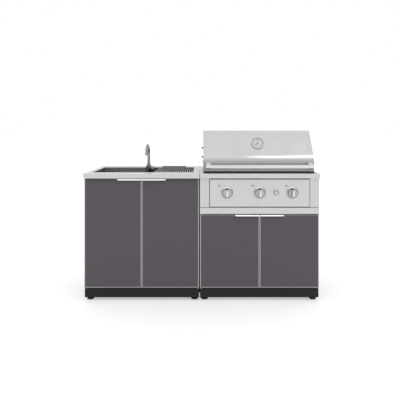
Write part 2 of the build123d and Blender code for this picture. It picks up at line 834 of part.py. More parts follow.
def make_door(prefix, side, hinge_edge, free_edge, top):
    x = sorted((hinge_edge, free_edge))
    z = (door_bottom, top)
    inward = math.copysign(1, free_edge - hinge_edge)
    pivot_x = pivot_of(hinge_edge, free_edge)
    pivot_t = door_set + pivot_back
    with BuildPart() as door_frame:
        t = (door_set + door_skin, door_back)
        slab(x, t, z)
        fillet(door_frame.faces().sort_by(Axis.Y)[0].edges(), door_edge_round)
        hollow_t = (t[0] + door_sheet, t[1] + 1)
        slab(shrink(x, door_sheet), hollow_t, shrink(z, door_sheet), Mode.SUBTRACT)
        block_x = sorted((hinge_edge, hinge_edge + inward * pivot_block))
        for block_z in ((z[0], z[0] + pivot_block_height), (z[1] - pivot_block_height, z[1])):
            slab(*(shrink(side, door_sheet / 2) for side in (block_x, t, block_z)))
        bore = pivot_pin_radius + pivot_clearance
        for bore_z in ((z[0], z[0] + pivot_pin_length + 1), (z[1] - pivot_pin_length - 1, z[1])):
            rod_z(pivot_x, pivot_t, bore_z, bore, Mode.SUBTRACT)
    save(f"{prefix}_{side}_door_frame", door_frame)

    with BuildPart() as door_skin_sheet:
        slab(shrink(x, door_trim), (door_set, door_set + door_skin), shrink(z, door_trim))
    save(f"{prefix}_{side}_door_skin", door_skin_sheet)

    with BuildPart() as pull:
        start = free_edge - inward * pull_end_gap
        pull_x = sorted((start, start - inward * pull_length))
        front = door_set - pull_reach
        seat = door_set + pull_seat
        with BuildSketch(Plane.XY.offset(top + pull_sheet - pull_drop)) as plan:
            with Locations(((pull_x[0] + pull_x[1]) / 2, at((front + seat) / 2))):
                Rectangle(pull_length, seat - front)
            far_corner = plan.vertices().group_by(Axis.Y)[0].sort_by(Axis.X)[0 if inward > 0 else -1]
            chamfer(far_corner, pull_corner)
        extrude(amount=pull_drop)
        hollow_x = sorted((start + inward, start - inward * (pull_length + 1)))
        under_z = (top - pull_drop, top)
        slab(hollow_x, (front + pull_corner, seat + 1), under_z, Mode.SUBTRACT)
        lip_end = start - inward * (pull_length - pull_corner)
        under_t = (front + pull_sheet, front + pull_corner + 1)
        slab(sorted((start + inward, lip_end)), under_t, under_z, Mode.SUBTRACT)
    save(f"{prefix}_{side}_door_pull", pull)


sink_door_top = lip_bottom - door_top_gap
grill_door_top = rail_low - door_top_gap
sink_doors = door_pairs(sink_x, sink_door_top)
grill_doors = door_pairs(grill_x, grill_door_top)
for door in sink_doors:
    make_door("sink", *door)
for door in grill_doors:
    make_door("grill", *door)

with BuildPart() as door_pivot_plates:
    for _, hinge_edge, free_edge, top in sink_doors + grill_doors:
        pivot_x = pivot_of(hinge_edge, free_edge)
        pivot_t = door_set + pivot_back
        plate_x = about(pivot_x, pivot_plate_rim)
        plate_t = (pivot_t - pivot_plate_rim, carcass_set)
        low_plate = (plinth_top, plinth_top + pivot_plate)
        high_plate = (top + pivot_top_room, top + pivot_top_room + pivot_plate)
        slab(plate_x, plate_t, low_plate)
        rod_z(pivot_x, pivot_t, (plinth_top, door_bottom + pivot_pin_length), pivot_pin_radius)
        slab(plate_x, plate_t, high_plate)
        rod_z(pivot_x, pivot_t, (top - pivot_pin_length, high_plate[1]), pivot_pin_radius)
save("door_pivot_plates", door_pivot_plates)

# Front of the grill cabinet


def front_cover(x, z):
    """A folded cover in front of the face frame, open at the back."""
    slab(x, (front_set, carcass_set), z)
    hollow_t = (front_set + front_sheet, carcass_set + 1)
    slab(shrink(x, front_sheet), hollow_t, shrink(z, front_sheet), Mode.SUBTRACT)


front_x = carcass_of(grill_x)
with BuildPart() as grill_stiles:
    stile_z = (rail_high + front_gap, lip_bottom)
    front_cover((front_x[0], panel_x[0] - panel_gap), stile_z)
    front_cover((panel_x[1] + panel_gap, front_x[1]), stile_z)
save("grill_stiles", grill_stiles)

with BuildPart() as grill_lower_rail:
    front_cover(front_x, (rail_low, rail_high))
save("grill_lower_rail", grill_lower_rail)

with BuildPart() as control_panel:
    slab(panel_x, (panel_set, firebox_front), panel_z)
    fillet(control_panel.faces().sort_by(Axis.Y)[0].edges(), counter_edge_round)
    hollow_t = (panel_set + firebox_sheet, firebox_front + 1)
    slab(shrink(panel_x, firebox_sheet), hollow_t, shrink(panel_z, firebox_sheet), Mode.SUBTRACT)
    skin_t = (panel_set, panel_set + firebox_sheet)
    for x in knob_x:
        rod_t(x, skin_t, knob_level, stem_radius + stem_hole_clearance, Mode.SUBTRACT)
    tube_radius = igniter_radius + igniter_clearance + igniter_tube_wall
    rod_t(igniter_x, skin_t, knob_level, tube_radius + igniter_clearance, Mode.SUBTRACT)
save("control_panel", control_panel)

with BuildPart() as control_bezels:
    bezel_bore = knob_radius + bezel_gap
    for x in knob_x:
        rod_t(x, (panel_set - bezel_depth, panel_set), knob_level, bezel_radius)
    rod_t(igniter_x, (panel_set - igniter_collar_depth, panel_set), knob_level, igniter_collar_radius)
    front_rims = control_bezels.edges().filter_by(GeomType.CIRCLE).group_by(Axis.Y)
    chamfer(front_rims[0], bezel_edge)
    chamfer(front_rims[1], bezel_edge / 2)
    for x in knob_x:
        rod_t(x, (panel_set - bezel_depth, panel_set), knob_level, bezel_bore, Mode.SUBTRACT)
    rod_t(igniter_x, (panel_set, panel_set + igniter_tube_length), knob_level, tube_radius)
    bore_t = (panel_set - igniter_collar_depth, panel_set + igniter_tube_length - igniter_tube_wall)
    rod_t(igniter_x, bore_t, knob_level, igniter_radius + igniter_clearance, Mode.SUBTRACT)
save("control_bezels", control_bezels)

with BuildPart() as igniter_button:
    button_front = panel_set - igniter_collar_depth - igniter_proud
    rod_t(igniter_x, (button_front, button_front + igniter_length), knob_level, igniter_radius)
    fillet(igniter_button.edges().filter_by(GeomType.CIRCLE).sort_by(Axis.Y)[0], igniter_proud / 2)
save("igniter_button", igniter_button)

valve_front = panel_set + valve_gap
for side, x in zip(("left", "middle", "right"), knob_x):
    with BuildPart() as valve_stem:
        stem_front = knob_back - knob_bore_depth
        rod_t(x, (stem_front, valve_front + stem_seat), knob_level, stem_radius)
    save(f"valve_stem_{side}", valve_stem)

    with BuildPart() as knob:
        skirt_front = knob_back - knob_skirt
        rod_t(x, (skirt_front, knob_back), knob_level, knob_radius)
        fillet(knob.edges().filter_by(GeomType.CIRCLE).sort_by(Axis.Y)[0], knob_edge_round)
        bar_x = about(x, knob_bar_width / 2)
        slab(bar_x, (knob_face, skirt_front), about(knob_level, knob_bar_length / 2))
        fillet(knob.faces().sort_by(Axis.Y)[0].edges(), knob_edge_round)
        bore_t = (knob_back - knob_bore_depth, knob_back)
        rod_t(x, bore_t, knob_level, stem_radius + stem_bore_clearance, Mode.SUBTRACT)
    save(f"knob_{side}", knob)

with BuildPart() as gas_train:
    manifold_t = valve_front + valve_length / 2
    manifold_z = knob_level - manifold_drop
    manifold_x = shrink(panel_x, manifold_inset)
    rod_x(manifold_x, manifold_t, manifold_z, manifold_radius)
    for x in knob_x:
        rod_t(x, (valve_front, valve_front + valve_length), knob_level, valve_radius)
        rod_t(x, (valve_front, valve_front + valve_length + nozzle_length), knob_level, nozzle_radius)
        rod_z(x, manifold_t, (manifold_z, knob_level), neck_radius)
    inlet_x = manifold_x[1] - inlet_end
    inlet_z = manifold_z - inlet_drop
    collar_t = manifold_t + inlet_collar_start
    rod_z(inlet_x, manifold_t, (inlet_z, manifold_z), inlet_radius)
    half_elbow = inlet_elbow / 2
    slab(about(inlet_x, half_elbow), about(manifold_t, half_elbow), about(inlet_z, half_elbow))
    rod_t(inlet_x, (manifold_t, manifold_t + inlet_reach), inlet_z, inlet_radius)
    rod_t(inlet_x, (collar_t, collar_t + inlet_collar), inlet_z, inlet_collar_radius)
    for x in (grill_mid - knob_pitch / 2, grill_mid + knob_pitch / 2):
        bracket_x = about(x, bracket_width / 2)
        slab(bracket_x, (manifold_t, firebox_front), about(manifold_z, bracket_height / 2))
    stem_bore = (valve_front, valve_front + stem_seat + stem_spare)
    for x in knob_x:
        rod_t(x, stem_bore, knob_level, stem_radius + stem_bore_clearance, Mode.SUBTRACT)
save("gas_train", gas_train)

# Firebox

with BuildPart() as firebox:
    flange_z = (counter_height, flange_top)
    slab(shrink(firebox_x, -firebox_flange), shrink(firebox_t, -firebox_flange), flange_z)
    slab(firebox_x, firebox_t, (firebox_floor, counter_height))
    inner_z = (firebox_floor + firebox_sheet, flange_top + 1)
    slab(firebox_inner_x, firebox_inner_t, inner_z, Mode.SUBTRACT)
    for ledge, level in ((tent_ledge, tent_level), (grate_ledge, grate_level)):
        ledge_z_pair = (level - ledge_sheet, level)
        slab(firebox_inner_x, (firebox_inner_t[0], firebox_inner_t[0] + ledge), ledge_z_pair)
        slab(firebox_inner_x, (firebox_inner_t[1] - ledge, firebox_inner_t[1]), ledge_z_pair)
    firebox_mid_t = (firebox_t[0] + firebox_t[1]) / 2
    hole_x = about(grill_mid, grease_hole_x / 2)
    hole_t = about(firebox_mid_t, grease_hole_t / 2)
    slab(hole_x, hole_t, (firebox_floor - 1, firebox_floor + firebox_sheet + 1), Mode.SUBTRACT)
    for x in knob_x:
        front_wall = (firebox_t[0], firebox_inner_t[0])
        rod_t(x, front_wall, knob_level, burner_radius + burner_clearance, Mode.SUBTRACT)
    runner_t = shrink(firebox_t, tray_inset)
    runner_z = (firebox_floor - runner_drop, firebox_floor)
    for hand in (-1, 1):
        inner = grill_mid + hand * (tray_width / 2 + tray_rim + runner_gap)
        slab(sorted((inner, inner + hand * runner_sheet)), runner_t, runner_z)
        lip_x = sorted((inner - hand * runner_lip, inner))
        slab(lip_x, runner_t, (runner_z[0], runner_z[0] + runner_sheet))
save("firebox", firebox)

with BuildPart() as drip_tray:
    rim_low = firebox_floor - runner_drop + runner_sheet
    rim_z = (rim_low, rim_low + tray_sheet)
    tray_x = about(grill_mid, tray_width / 2)
    tray_t = shrink(firebox_t, tray_inset)
    slab(shrink(tray_x, -tray_rim), tray_t, rim_z)
    slab(tray_x, tray_t, (rim_z[1] - tray_depth, rim_z[1]))
    inner_z = (rim_z[1] - tray_depth + tray_sheet, rim_z[1] + 1)
    slab(shrink(tray_x, tray_sheet), shrink(tray_t, tray_sheet), inner_z, Mode.SUBTRACT)
save("drip_tray", drip_tray)

with BuildPart() as burners:
    burner_t = (firebox_t[0] - burner_start, firebox_inner_t[1])
    for x in knob_x:
        rod_t(x, burner_t, knob_level, burner_radius)
        bore_t = (burner_t[0], burner_t[1] - burner_wall)
        rod_t(x, bore_t, knob_level, burner_radius - burner_wall, Mode.SUBTRACT)
save("burners", burners)

with BuildPart() as heat_tents:
    tent_t = shrink(firebox_inner_t, tent_end_gap)
    drop = tent_sheet * math.hypot(tent_half_width, tent_rise) / tent_half_width
    foot = tent_sheet * math.hypot(tent_half_width, tent_rise) / tent_rise
    for x in knob_x:
        with BuildSketch(Plane(origin=(x, at(tent_t[0]), tent_level), x_dir=(1, 0, 0), z_dir=(0, -1, 0))):
            Polygon(
                (-tent_half_width, 0),
                (0, tent_rise),
                (tent_half_width, 0),
                (tent_half_width - foot, 0),
                (0, tent_rise - drop),
                (foot - tent_half_width, 0),
                align=None,
            )
        extrude(amount=-(tent_t[1] - tent_t[0]))
save("heat_tents", heat_tents)

with BuildPart() as cooking_grates:
    half = (firebox_inner_x[1] - firebox_inner_x[0]) / 2
    grate_width = half - 1.5 * grate_gap
    grate_t = shrink(firebox_inner_t, grate_end_gap)
    grate_length = grate_t[1] - grate_t[0]
    slot_length = (grate_length - 3 * grate_cross) / 2
    grate_pitch = (grate_width - 2 * grate_border) / grate_slot_count
    grate_middles = [grill_mid + hand * (grate_gap + grate_width) / 2 for hand in (-1, 1)]
    with BuildSketch(Plane.XY.offset(grate_level)):
        for middle in grate_middles:
            with Locations((middle, at(firebox_mid_t))):
                RectangleRounded(grate_width, grate_length, grate_cross / 2)
                with GridLocations(grate_pitch, slot_length + grate_cross, grate_slot_count, 2):
                    Rectangle(grate_slot, slot_length, mode=Mode.SUBTRACT)
    extrude(amount=grate_thick)
save("cooking_grates", cooking_grates)


# Hood, turning on pins in two side plates


def hood_outline(inset):
    """Side view of the hood, or of the room inside its sheet, drawn over Y and Z."""
    bend_start = (at(hood_front), hood_base + hood_kick)
    bend_centre = (at(hood_front + hood_bend), hood_base + hood_kick)
    with BuildSketch() as outline:
        with BuildLine():
            Line((at(hood_front), hood_base), bend_start)
            CenterArc(bend_centre, hood_bend, 180, -hood_lean)
            Polyline(
                (at(bend_t), bend_z),
                (at(crest_t), hood_top),
                (at(hood_top_back), hood_top),
                (at(hood_back), hood_shoulder),
                (at(hood_back), pivot_level + pivot_wall_lift),
                (at(pivot_depth + pivot_cap_drop), pivot_level),
                (at(pivot_depth), pivot_level - pivot_cap_drop),
                (at(pivot_depth - pivot_cap_front), hood_base),
                (at(hood_front), hood_base),
            )
        make_face()
        fillet(outline.vertices().group_by(Axis.Y)[-1], hood_top_round)
        if inset:
            offset(amount=-inset, kind=Kind.INTERSECTION, mode=Mode.REPLACE)
    return outline.sketch


gauge_t = bend_t + (gauge_level - bend_z) * math.tan(lean)
gauge_out = Vector(0, -math.cos(lean), math.sin(lean))
gauge_plane = Plane(origin=(grill_mid, at(gauge_t), gauge_level), x_dir=(1, 0, 0), z_dir=gauge_out)
hood_ends = ((hood_x[0], -1), (hood_x[1], 1))
bolt_levels = (hood_base + side_bolt_low_rise, hood_base + side_bolt_high_rise)

with BuildPart() as hood_shell:
    outline = hood_outline(0)
    inside = hood_outline(hood_sheet)
    extrude(Plane.YZ.offset(hood_x[0]) * outline, amount=hood_width, dir=(1, 0, 0))
    room = hood_width - 2 * hood_sheet
    inner_plane = Plane.YZ.offset(hood_x[0] + hood_sheet)
    for drop in (0, hood_open_cut):
        extrude(inner_plane * Pos(0, -drop) * inside, amount=room, dir=(1, 0, 0), mode=Mode.SUBTRACT)
    for end in hood_x:
        skin = about(end, hood_sheet + 1)
        rod_x(skin, pivot_depth, pivot_level, hood_pin_radius + hood_pin_clearance, Mode.SUBTRACT)
        for level in bolt_levels:
            rod_x(skin, side_bolt_depth, level, side_bolt_radius + hood_pin_clearance, Mode.SUBTRACT)
    with BuildSketch(gauge_plane.offset(gauge_edge)):
        Circle(gauge_stem_radius + gauge_stem_clearance)
    extrude(amount=-gauge_stem_length / 2, mode=Mode.SUBTRACT)
save("hood_shell", hood_shell)

with BuildPart() as hood_side_plates:
    for end, outward in hood_ends:
        outer = end - outward * (hood_sheet + side_plate_gap)
        inner = outer - outward * side_plate_sheet
        with BuildSketch(Plane.YZ.offset(min(outer, inner))):
            Polygon(
                (at(side_plate_front), flange_top),
                (at(pivot_depth), flange_top),
                (at(pivot_depth + side_plate_boss), pivot_level),
                (at(side_plate_top_back), side_plate_top),
                (at(side_plate_front), side_plate_top),
                align=None,
            )
            with Locations((at(pivot_depth), pivot_level)):
                Circle(side_plate_boss)
                Circle(hood_pin_radius + hood_pin_clearance, mode=Mode.SUBTRACT)
            with Locations((at(warm_front), warm_level), (at(warm_back), warm_level)):
                Circle(warm_rail_radius + warm_clearance, mode=Mode.SUBTRACT)
        extrude(amount=side_plate_sheet)
save("hood_side_plates", hood_side_plates)

with BuildPart() as hood_bolts:
    for end, outward in hood_ends:
        plate_inner = end - outward * (hood_sheet + side_plate_gap + side_plate_sheet)
        rod_x(sorted((end, plate_inner)), pivot_depth, pivot_level, hood_pin_radius)
        rod_x(sorted((end, end + outward * hood_pin_head)), pivot_depth, pivot_level, hood_pin_head_radius)
        for level in bolt_levels:
            inner_skin = end - outward * hood_sheet
            rod_x(sorted((end, inner_skin)), side_bolt_depth, level, side_bolt_radius)
            nut_end = inner_skin - outward * side_bolt_nut
            rod_x(sorted((inner_skin, nut_end)), side_bolt_depth, level, side_bolt_head_radius)
            head_end = end + outward * side_bolt_head
            rod_x(sorted((end, head_end)), side_bolt_depth, level, side_bolt_head_radius)
    head_rims = hood_bolts.edges().filter_by(GeomType.CIRCLE).group_by(Axis.X)
    fillet(head_rims[0] + head_rims[-1], side_bolt_head_radius / 2)
save("hood_bolts", hood_bolts)

with BuildPart() as hood_handle:
    grip_inner = hood_width / 2 - bracket_end - bracket_span
    for hand in (-1, 1):
        near = grill_mid + hand * grip_inner
        far = near + hand * bracket_span
        with BuildSketch(Plane.YZ.offset(min(near, far))):
            Polygon(
                (at(bracket_root), hood_base + bracket_top_rise),
                (at(handle_depth), handle_level + handle_radius + bracket_nose),
                (at(handle_depth - handle_radius), handle_level + handle_radius / 2),
                (at(handle_depth - handle_radius), handle_level - handle_radius / 2),
                (at(handle_depth), handle_level - handle_radius - bracket_nose),
                (at(bracket_root), hood_base + bracket_low_rise),
                align=None,
            )
        extrude(amount=bracket_span)
    extrude(Plane.YZ.offset(hood_x[0]) * outline, amount=hood_width, dir=(1, 0, 0), mode=Mode.SUBTRACT)
    bar_x = about(grill_mid, grip_inner)
    bar_place = (bar_x[0], at(handle_depth), handle_level)
    with BuildSketch(Plane(origin=bar_place, x_dir=(0, 1, 0), z_dir=(1, 0, 0))):
        Circle(handle_radius)
        Circle(handle_radius - handle_wall, mode=Mode.SUBTRACT)
    extrude(amount=2 * grip_inner)
save("hood_handle", hood_handle)

with BuildPart() as thermometer_case:
    with BuildSketch(gauge_plane):
        Circle(gauge_radius)
    extrude(amount=gauge_height)
    chamfer(thermometer_case.faces().sort_by(Axis.Z)[-1].edges(), gauge_edge)
    with BuildSketch(gauge_plane.offset(gauge_floor)):
        Circle(gauge_radius - gauge_rim)
    extrude(amount=gauge_height, mode=Mode.SUBTRACT)
    with BuildSketch(gauge_plane):
        Circle(gauge_stem_radius)
    extrude(amount=-gauge_stem_length)
    with BuildSketch(gauge_plane.offset(gauge_floor)):
        Circle(needle_pin_radius + needle_pin_clearance)
    extrude(amount=-needle_pin_length, mode=Mode.SUBTRACT)
save("thermometer_case", thermometer_case)

with BuildPart() as thermometer_needle:
    needle_plane = gauge_plane.offset(gauge_floor + needle_lift)
    with BuildSketch(needle_plane):
        Polygon(
            (-needle_tail, needle_width / 2),
            (-needle_tail, -needle_width / 2),
            (needle_length, -needle_tip / 2),
            (needle_length, needle_tip / 2),
            rotation=needle_rest,
            align=None,
        )
        Circle(needle_hub_radius)
    extrude(amount=needle_sheet)
    with BuildSketch(needle_plane):
        Circle(needle_pin_radius)
    extrude(amount=-(needle_lift + needle_pin_length))
save("thermometer_needle", thermometer_needle)

with BuildPart() as warming_rack:
    outer_gap = hood_sheet + side_plate_gap
    warm_x = shrink(hood_x, outer_gap)
    rod_x_pair = shrink(warm_x, side_plate_sheet + side_plate_gap)
    for depth in (warm_front, warm_back):
        rod_x(warm_x, depth, warm_level, warm_rail_radius)
    warm_step = (warm_back - warm_front) / (warm_rod_count + 1)
    for step in range(warm_rod_count):
        rod_x(rod_x_pair, warm_front + (step + 1) * warm_step, warm_level, warm_rod_radius)
    for step in range(warm_cross_count):
        cross_x = grill_mid + (step - (warm_cross_count - 1) / 2) * warm_cross_pitch
        rod_t(cross_x, (warm_front, warm_back), warm_level, warm_rod_radius)
save("warming_rack", warming_rack)
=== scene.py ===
# %% [markdown]
# An outdoor kitchen of two cabinets: a sink on the left and a gas grill on the right.
# The shapes come from the CAD model, which is loaded first and never moved. Everything below
# only dresses it: finishes for every piece, the small parts that CAD leaves out, light and camera.

import json
import math

import bmesh
import bpy
from mathutils import Matrix, Vector


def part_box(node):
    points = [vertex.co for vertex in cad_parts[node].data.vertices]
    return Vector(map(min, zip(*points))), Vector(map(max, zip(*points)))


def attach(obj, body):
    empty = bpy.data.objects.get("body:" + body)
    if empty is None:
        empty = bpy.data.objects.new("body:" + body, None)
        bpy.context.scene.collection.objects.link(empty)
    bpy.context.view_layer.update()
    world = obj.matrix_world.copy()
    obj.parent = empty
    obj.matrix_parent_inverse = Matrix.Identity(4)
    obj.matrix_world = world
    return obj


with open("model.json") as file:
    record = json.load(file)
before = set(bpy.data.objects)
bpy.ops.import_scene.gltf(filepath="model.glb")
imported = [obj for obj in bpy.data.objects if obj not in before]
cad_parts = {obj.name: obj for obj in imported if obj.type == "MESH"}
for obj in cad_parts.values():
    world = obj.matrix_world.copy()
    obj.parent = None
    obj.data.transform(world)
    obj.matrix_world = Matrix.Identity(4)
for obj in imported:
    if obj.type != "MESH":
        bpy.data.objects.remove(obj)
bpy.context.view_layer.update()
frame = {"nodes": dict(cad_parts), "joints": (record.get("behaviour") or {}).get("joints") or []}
nodes = frame["nodes"]
scene = bpy.context.scene
scene.view_settings.view_transform = "Standard"
print("CAD nodes:", len(nodes))

# %% [markdown]
# Blender works in metres and the drawings of this kitchen are in millimetres, so one constant
# turns one into the other. Places are read from the CAD nodes instead of being typed again.

# %% Units and places read from the CAD
MM = 0.001


def middle(node):
    low, high = (Vector(corner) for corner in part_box(node))
    return (low + high) / 2


def low_corner(node):
    return Vector(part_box(node)[0])


def high_corner(node):
    return Vector(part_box(node)[1])


counter_top = high_corner("sink_countertop").z
counter_front = low_corner("sink_countertop").y
print("countertop at", round(counter_top, 3), "m, front edge at y", round(counter_front, 3))

# %% [markdown]
# Brushed steel shows fine lines left by an abrasive belt. They could be painted as an image, but
# a noise texture that is stretched along one axis gives the same lines at any distance.
# The lines change the roughness and the height, hardly the colour. The group is made once.

# %% Shader group: belt grain


def new_group(name, inputs, outputs):
    """An empty shader group with float, vector or colour sockets."""
    group = bpy.data.node_groups.new(name, "ShaderNodeTree")
    for label, kind, value in inputs:
        socket = group.interface.new_socket(label, in_out="INPUT", socket_type=f"NodeSocket{kind}")
        if value is not None:
            socket.default_value = value
    for label, kind in outputs:
        group.interface.new_socket(label, in_out="OUTPUT", socket_type=f"NodeSocket{kind}")
    start = group.nodes.new("NodeGroupInput")
    end = group.nodes.new("NodeGroupOutput")
    return group, start, end


def add(tree, kind, **settings):
    """A new node with its properties set."""
    node = tree.nodes.new(kind)
    for key, value in settings.items():
        setattr(node, key, value)
    return node


def math_node(tree, operation, first, second):
    """A Math node; each input is a socket or a number."""
    node = add(tree, "ShaderNodeMath", operation=operation)
    for socket, value in zip(node.inputs, (first, second)):
        if isinstance(value, (int, float)):
            socket.default_value = value
        else:
            tree.links.new(value, socket)
    return node.outputs[0]


def noise(tree, vector, scale, detail, roughness=0.5):
    node = add(tree, "ShaderNodeTexNoise")
    node.inputs["Scale"].default_value = scale
    node.inputs["Detail"].default_value = detail
    node.inputs["Roughness"].default_value = roughness
    tree.links.new(vector, node.inputs["Vector"])
    return node.outputs["Fac"]


def spread(tree, value, low, high, to_low, to_high):
    node = add(tree, "ShaderNodeMapRange")
    node.inputs["From Min"].default_value = low
    node.inputs["From Max"].default_value = high
    node.inputs["To Min"].default_value = to_low
    node.inputs["To Max"].default_value = to_high
    tree.links.new(value, node.inputs["Value"])
    return node.outputs["Result"]


grain_group, grain_in, grain_out = new_group(
    "belt_grain",
    [("Vector", "Vector", None), ("Stretch", "Vector", (6.0, 900.0, 900.0))],
    [("Lines", "Float"), ("Smudge", "Float"), ("Height", "Float")],
)
stretch = add(grain_group, "ShaderNodeVectorMath", operation="MULTIPLY")
grain_group.links.new(grain_in.outputs["Vector"], stretch.inputs[0])
grain_group.links.new(grain_in.outputs["Stretch"], stretch.inputs[1])
fine_lines = noise(grain_group, stretch.outputs["Vector"], 1.0, 4.0, 0.65)
smudge = noise(grain_group, grain_in.outputs["Vector"], 7.0, 5.0, 0.6)
grain_group.links.new(spread(grain_group, fine_lines, 0.3, 0.7, 0.0, 1.0), grain_out.inputs["Lines"])
grain_group.links.new(spread(grain_group, smudge, 0.35, 0.7, 0.0, 1.0), grain_out.inputs["Smudge"])
grain_group.links.new(fine_lines, grain_out.inputs["Height"])
print("made", grain_group.name)

# %% [markdown]
# Handling polishes metal along its edges and knocks paint off corners. The Bevel node gives the
# normal that a rounded edge would have; where it differs from the true normal there is an edge.
# A noise breaks the line up, since wear is never even.

# %% Shader group: edge wear
wear_group, wear_in, wear_out = new_group(
    "edge_wear",
    [("Vector", "Vector", None), ("Radius", "Float", 0.0015), ("Break up", "Float", 60.0)],
    [("Mask", "Float")],
)
rounded = add(wear_group, "ShaderNodeBevel", samples=4)
wear_group.links.new(wear_in.outputs["Radius"], rounded.inputs["Radius"])
true_normal = add(wear_group, "ShaderNodeNewGeometry")
alike = add(wear_group, "ShaderNodeVectorMath", operation="DOT_PRODUCT")
wear_group.links.new(rounded.outputs["Normal"], alike.inputs[0])
wear_group.links.new(true_normal.outputs["Normal"], alike.inputs[1])
edge = spread(wear_group, alike.outputs["Value"], 0.995, 0.86, 0.0, 1.0)
patches = add(wear_group, "ShaderNodeTexNoise")
patches.inputs["Detail"].default_value = 3.0
wear_group.links.new(wear_in.outputs["Vector"], patches.inputs["Vector"])
wear_group.links.new(wear_in.outputs["Break up"], patches.inputs["Scale"])
broken = spread(wear_group, patches.outputs["Fac"], 0.4, 0.62, 0.15, 1.0)
wear_group.links.new(math_node(wear_group, "MULTIPLY", edge, broken), wear_out.inputs["Mask"])
print("made", wear_group.name)

# %% [markdown]
# Powder coat is sprayed as dust and baked, which leaves a slight orange peel. Three sizes of noise
# make it: a broad one for cloudy tones, a smaller one for the peel and a fine one for the sparkle
# of single grains.

# %% Shader group: powder coat
coat_group, coat_in, coat_out = new_group(
    "powder_coat",
    [("Vector", "Vector", None), ("Peel scale", "Float", 420.0)],
    [("Speckle", "Float"), ("Cloud", "Float"), ("Height", "Float")],
)
peel = add(coat_group, "ShaderNodeTexNoise")
peel.inputs["Detail"].default_value = 2.0
coat_group.links.new(coat_in.outputs["Vector"], peel.inputs["Vector"])
coat_group.links.new(coat_in.outputs["Peel scale"], peel.inputs["Scale"])
speckle = noise(coat_group, coat_in.outputs["Vector"], 1900.0, 1.0)
cloud = noise(coat_group, coat_in.outputs["Vector"], 3.0, 4.0, 0.6)
coat_group.links.new(spread(coat_group, speckle, 0.35, 0.65, 0.0, 1.0), coat_out.inputs["Speckle"])
coat_group.links.new(spread(coat_group, cloud, 0.3, 0.7, 0.0, 1.0), coat_out.inputs["Cloud"])
coat_group.links.new(peel.outputs["Fac"], coat_out.inputs["Height"])
print("made", coat_group.name)

# %% [markdown]
# Some pieces change tone along one direction: in the photo the lower front of the hood is darker
# than its top, and the front of a knob's bar is brighter than the knob's face. A mask could be
# painted on each piece, but a group that measures how far a point lies between a start and an end
# serves them all and needs no painting.

# %% Shader group: fade along a direction
fade_group, fade_in, fade_out = new_group(
    "axis_fade",
    [
        ("Vector", "Vector", None),
        ("Direction", "Vector", (0.0, 0.0, 1.0)),
        ("Start", "Float", 0.0),
        ("End", "Float", 1.0),
    ],
    [("Reached", "Float")],
)
along_direction = add(fade_group, "ShaderNodeVectorMath", operation="DOT_PRODUCT")
fade_group.links.new(fade_in.outputs["Vector"], along_direction.inputs[0])
fade_group.links.new(fade_in.outputs["Direction"], along_direction.inputs[1])
fade_range = add(fade_group, "ShaderNodeMapRange")
fade_group.links.new(along_direction.outputs["Value"], fade_range.inputs["Value"])
fade_group.links.new(fade_in.outputs["Start"], fade_range.inputs["From Min"])
fade_group.links.new(fade_in.outputs["End"], fade_range.inputs["From Max"])
fade_group.links.new(fade_range.outputs["Result"], fade_out.inputs["Reached"])
print("made", fade_group.name)

# %% [markdown]
# Enamel, ink, lacquer, rubber and the painted shade in the burner ports look even, but close up
# none of them has one flat tone. A fine noise mixes two colours that lie near each other, and the
# same noise varies the gloss.

# %% Shader group: paint mottle
mottle_group, mottle_in, mottle_out = new_group(
    "paint_mottle",
    [("Vector", "Vector", None), ("Scale", "Float", 800.0), ("Detail", "Float", 2.0)],
    [("Tone", "Float"), ("Gloss", "Float")],
)
paint_noise = add(mottle_group, "ShaderNodeTexNoise")
for label in ("Vector", "Scale", "Detail"):
    mottle_group.links.new(mottle_in.outputs[label], paint_noise.inputs[label])
paint_tone = paint_noise.outputs["Fac"]
mottle_group.links.new(paint_tone, mottle_out.inputs["Tone"])
mottle_group.links.new(spread(mottle_group, paint_tone, 0.3, 0.7, 0.0, 1.0), mottle_out.inputs["Gloss"])
print("made", mottle_group.name)

# %% [markdown]
# Every finish starts the same way: a material, a Principled shader and the object's own
# coordinates. The CAD nodes sit at the origin, so Object coordinates are the kitchen's own frame
# and a pattern runs on from one piece to the next.

# %% Helpers for materials


def new_finish(name, metallic, specular=0.5):
    material = bpy.data.materials.new(name)
    material.use_nodes = True
    tree = material.node_tree
    shader = tree.nodes["Principled BSDF"]
    shader.inputs["Metallic"].default_value = metallic
    shader.inputs["Specular IOR Level"].default_value = specular
    place = add(tree, "ShaderNodeTexCoord")
    return material, tree, shader, place.outputs["Object"]


def use_group(tree, group, vector, **values):
    node = add(tree, "ShaderNodeGroup", node_tree=group)
    tree.links.new(vector, node.inputs["Vector"])
    for label, value in values.items():
        node.inputs[label.replace("_", " ")].default_value = value
    return node.outputs


def blend(tree, mask, first, second):
    """A colour between two, by a mask; each colour is a socket or a triple."""
    node = add(tree, "ShaderNodeMix", data_type="RGBA")
    tree.links.new(mask, node.inputs["Factor"])
    for socket, value in zip((node.inputs["A"], node.inputs["B"]), (first, second)):
        if isinstance(value, tuple):
            socket.default_value = (*value, 1.0)
        else:
            tree.links.new(value, socket)
    return node.outputs["Result"]


def bump(tree, shader, height, strength, distance):
    node = add(tree, "ShaderNodeBump")
    node.inputs["Strength"].default_value = strength
    node.inputs["Distance"].default_value = distance
    tree.links.new(height, node.inputs["Height"])
    tree.links.new(node.outputs["Normal"], shader.inputs["Normal"])


def grey(level, warm=0.0):
    """A near-neutral colour, a little warm or cool."""
    return (level * (1 + warm), level, level * (1 - warm))


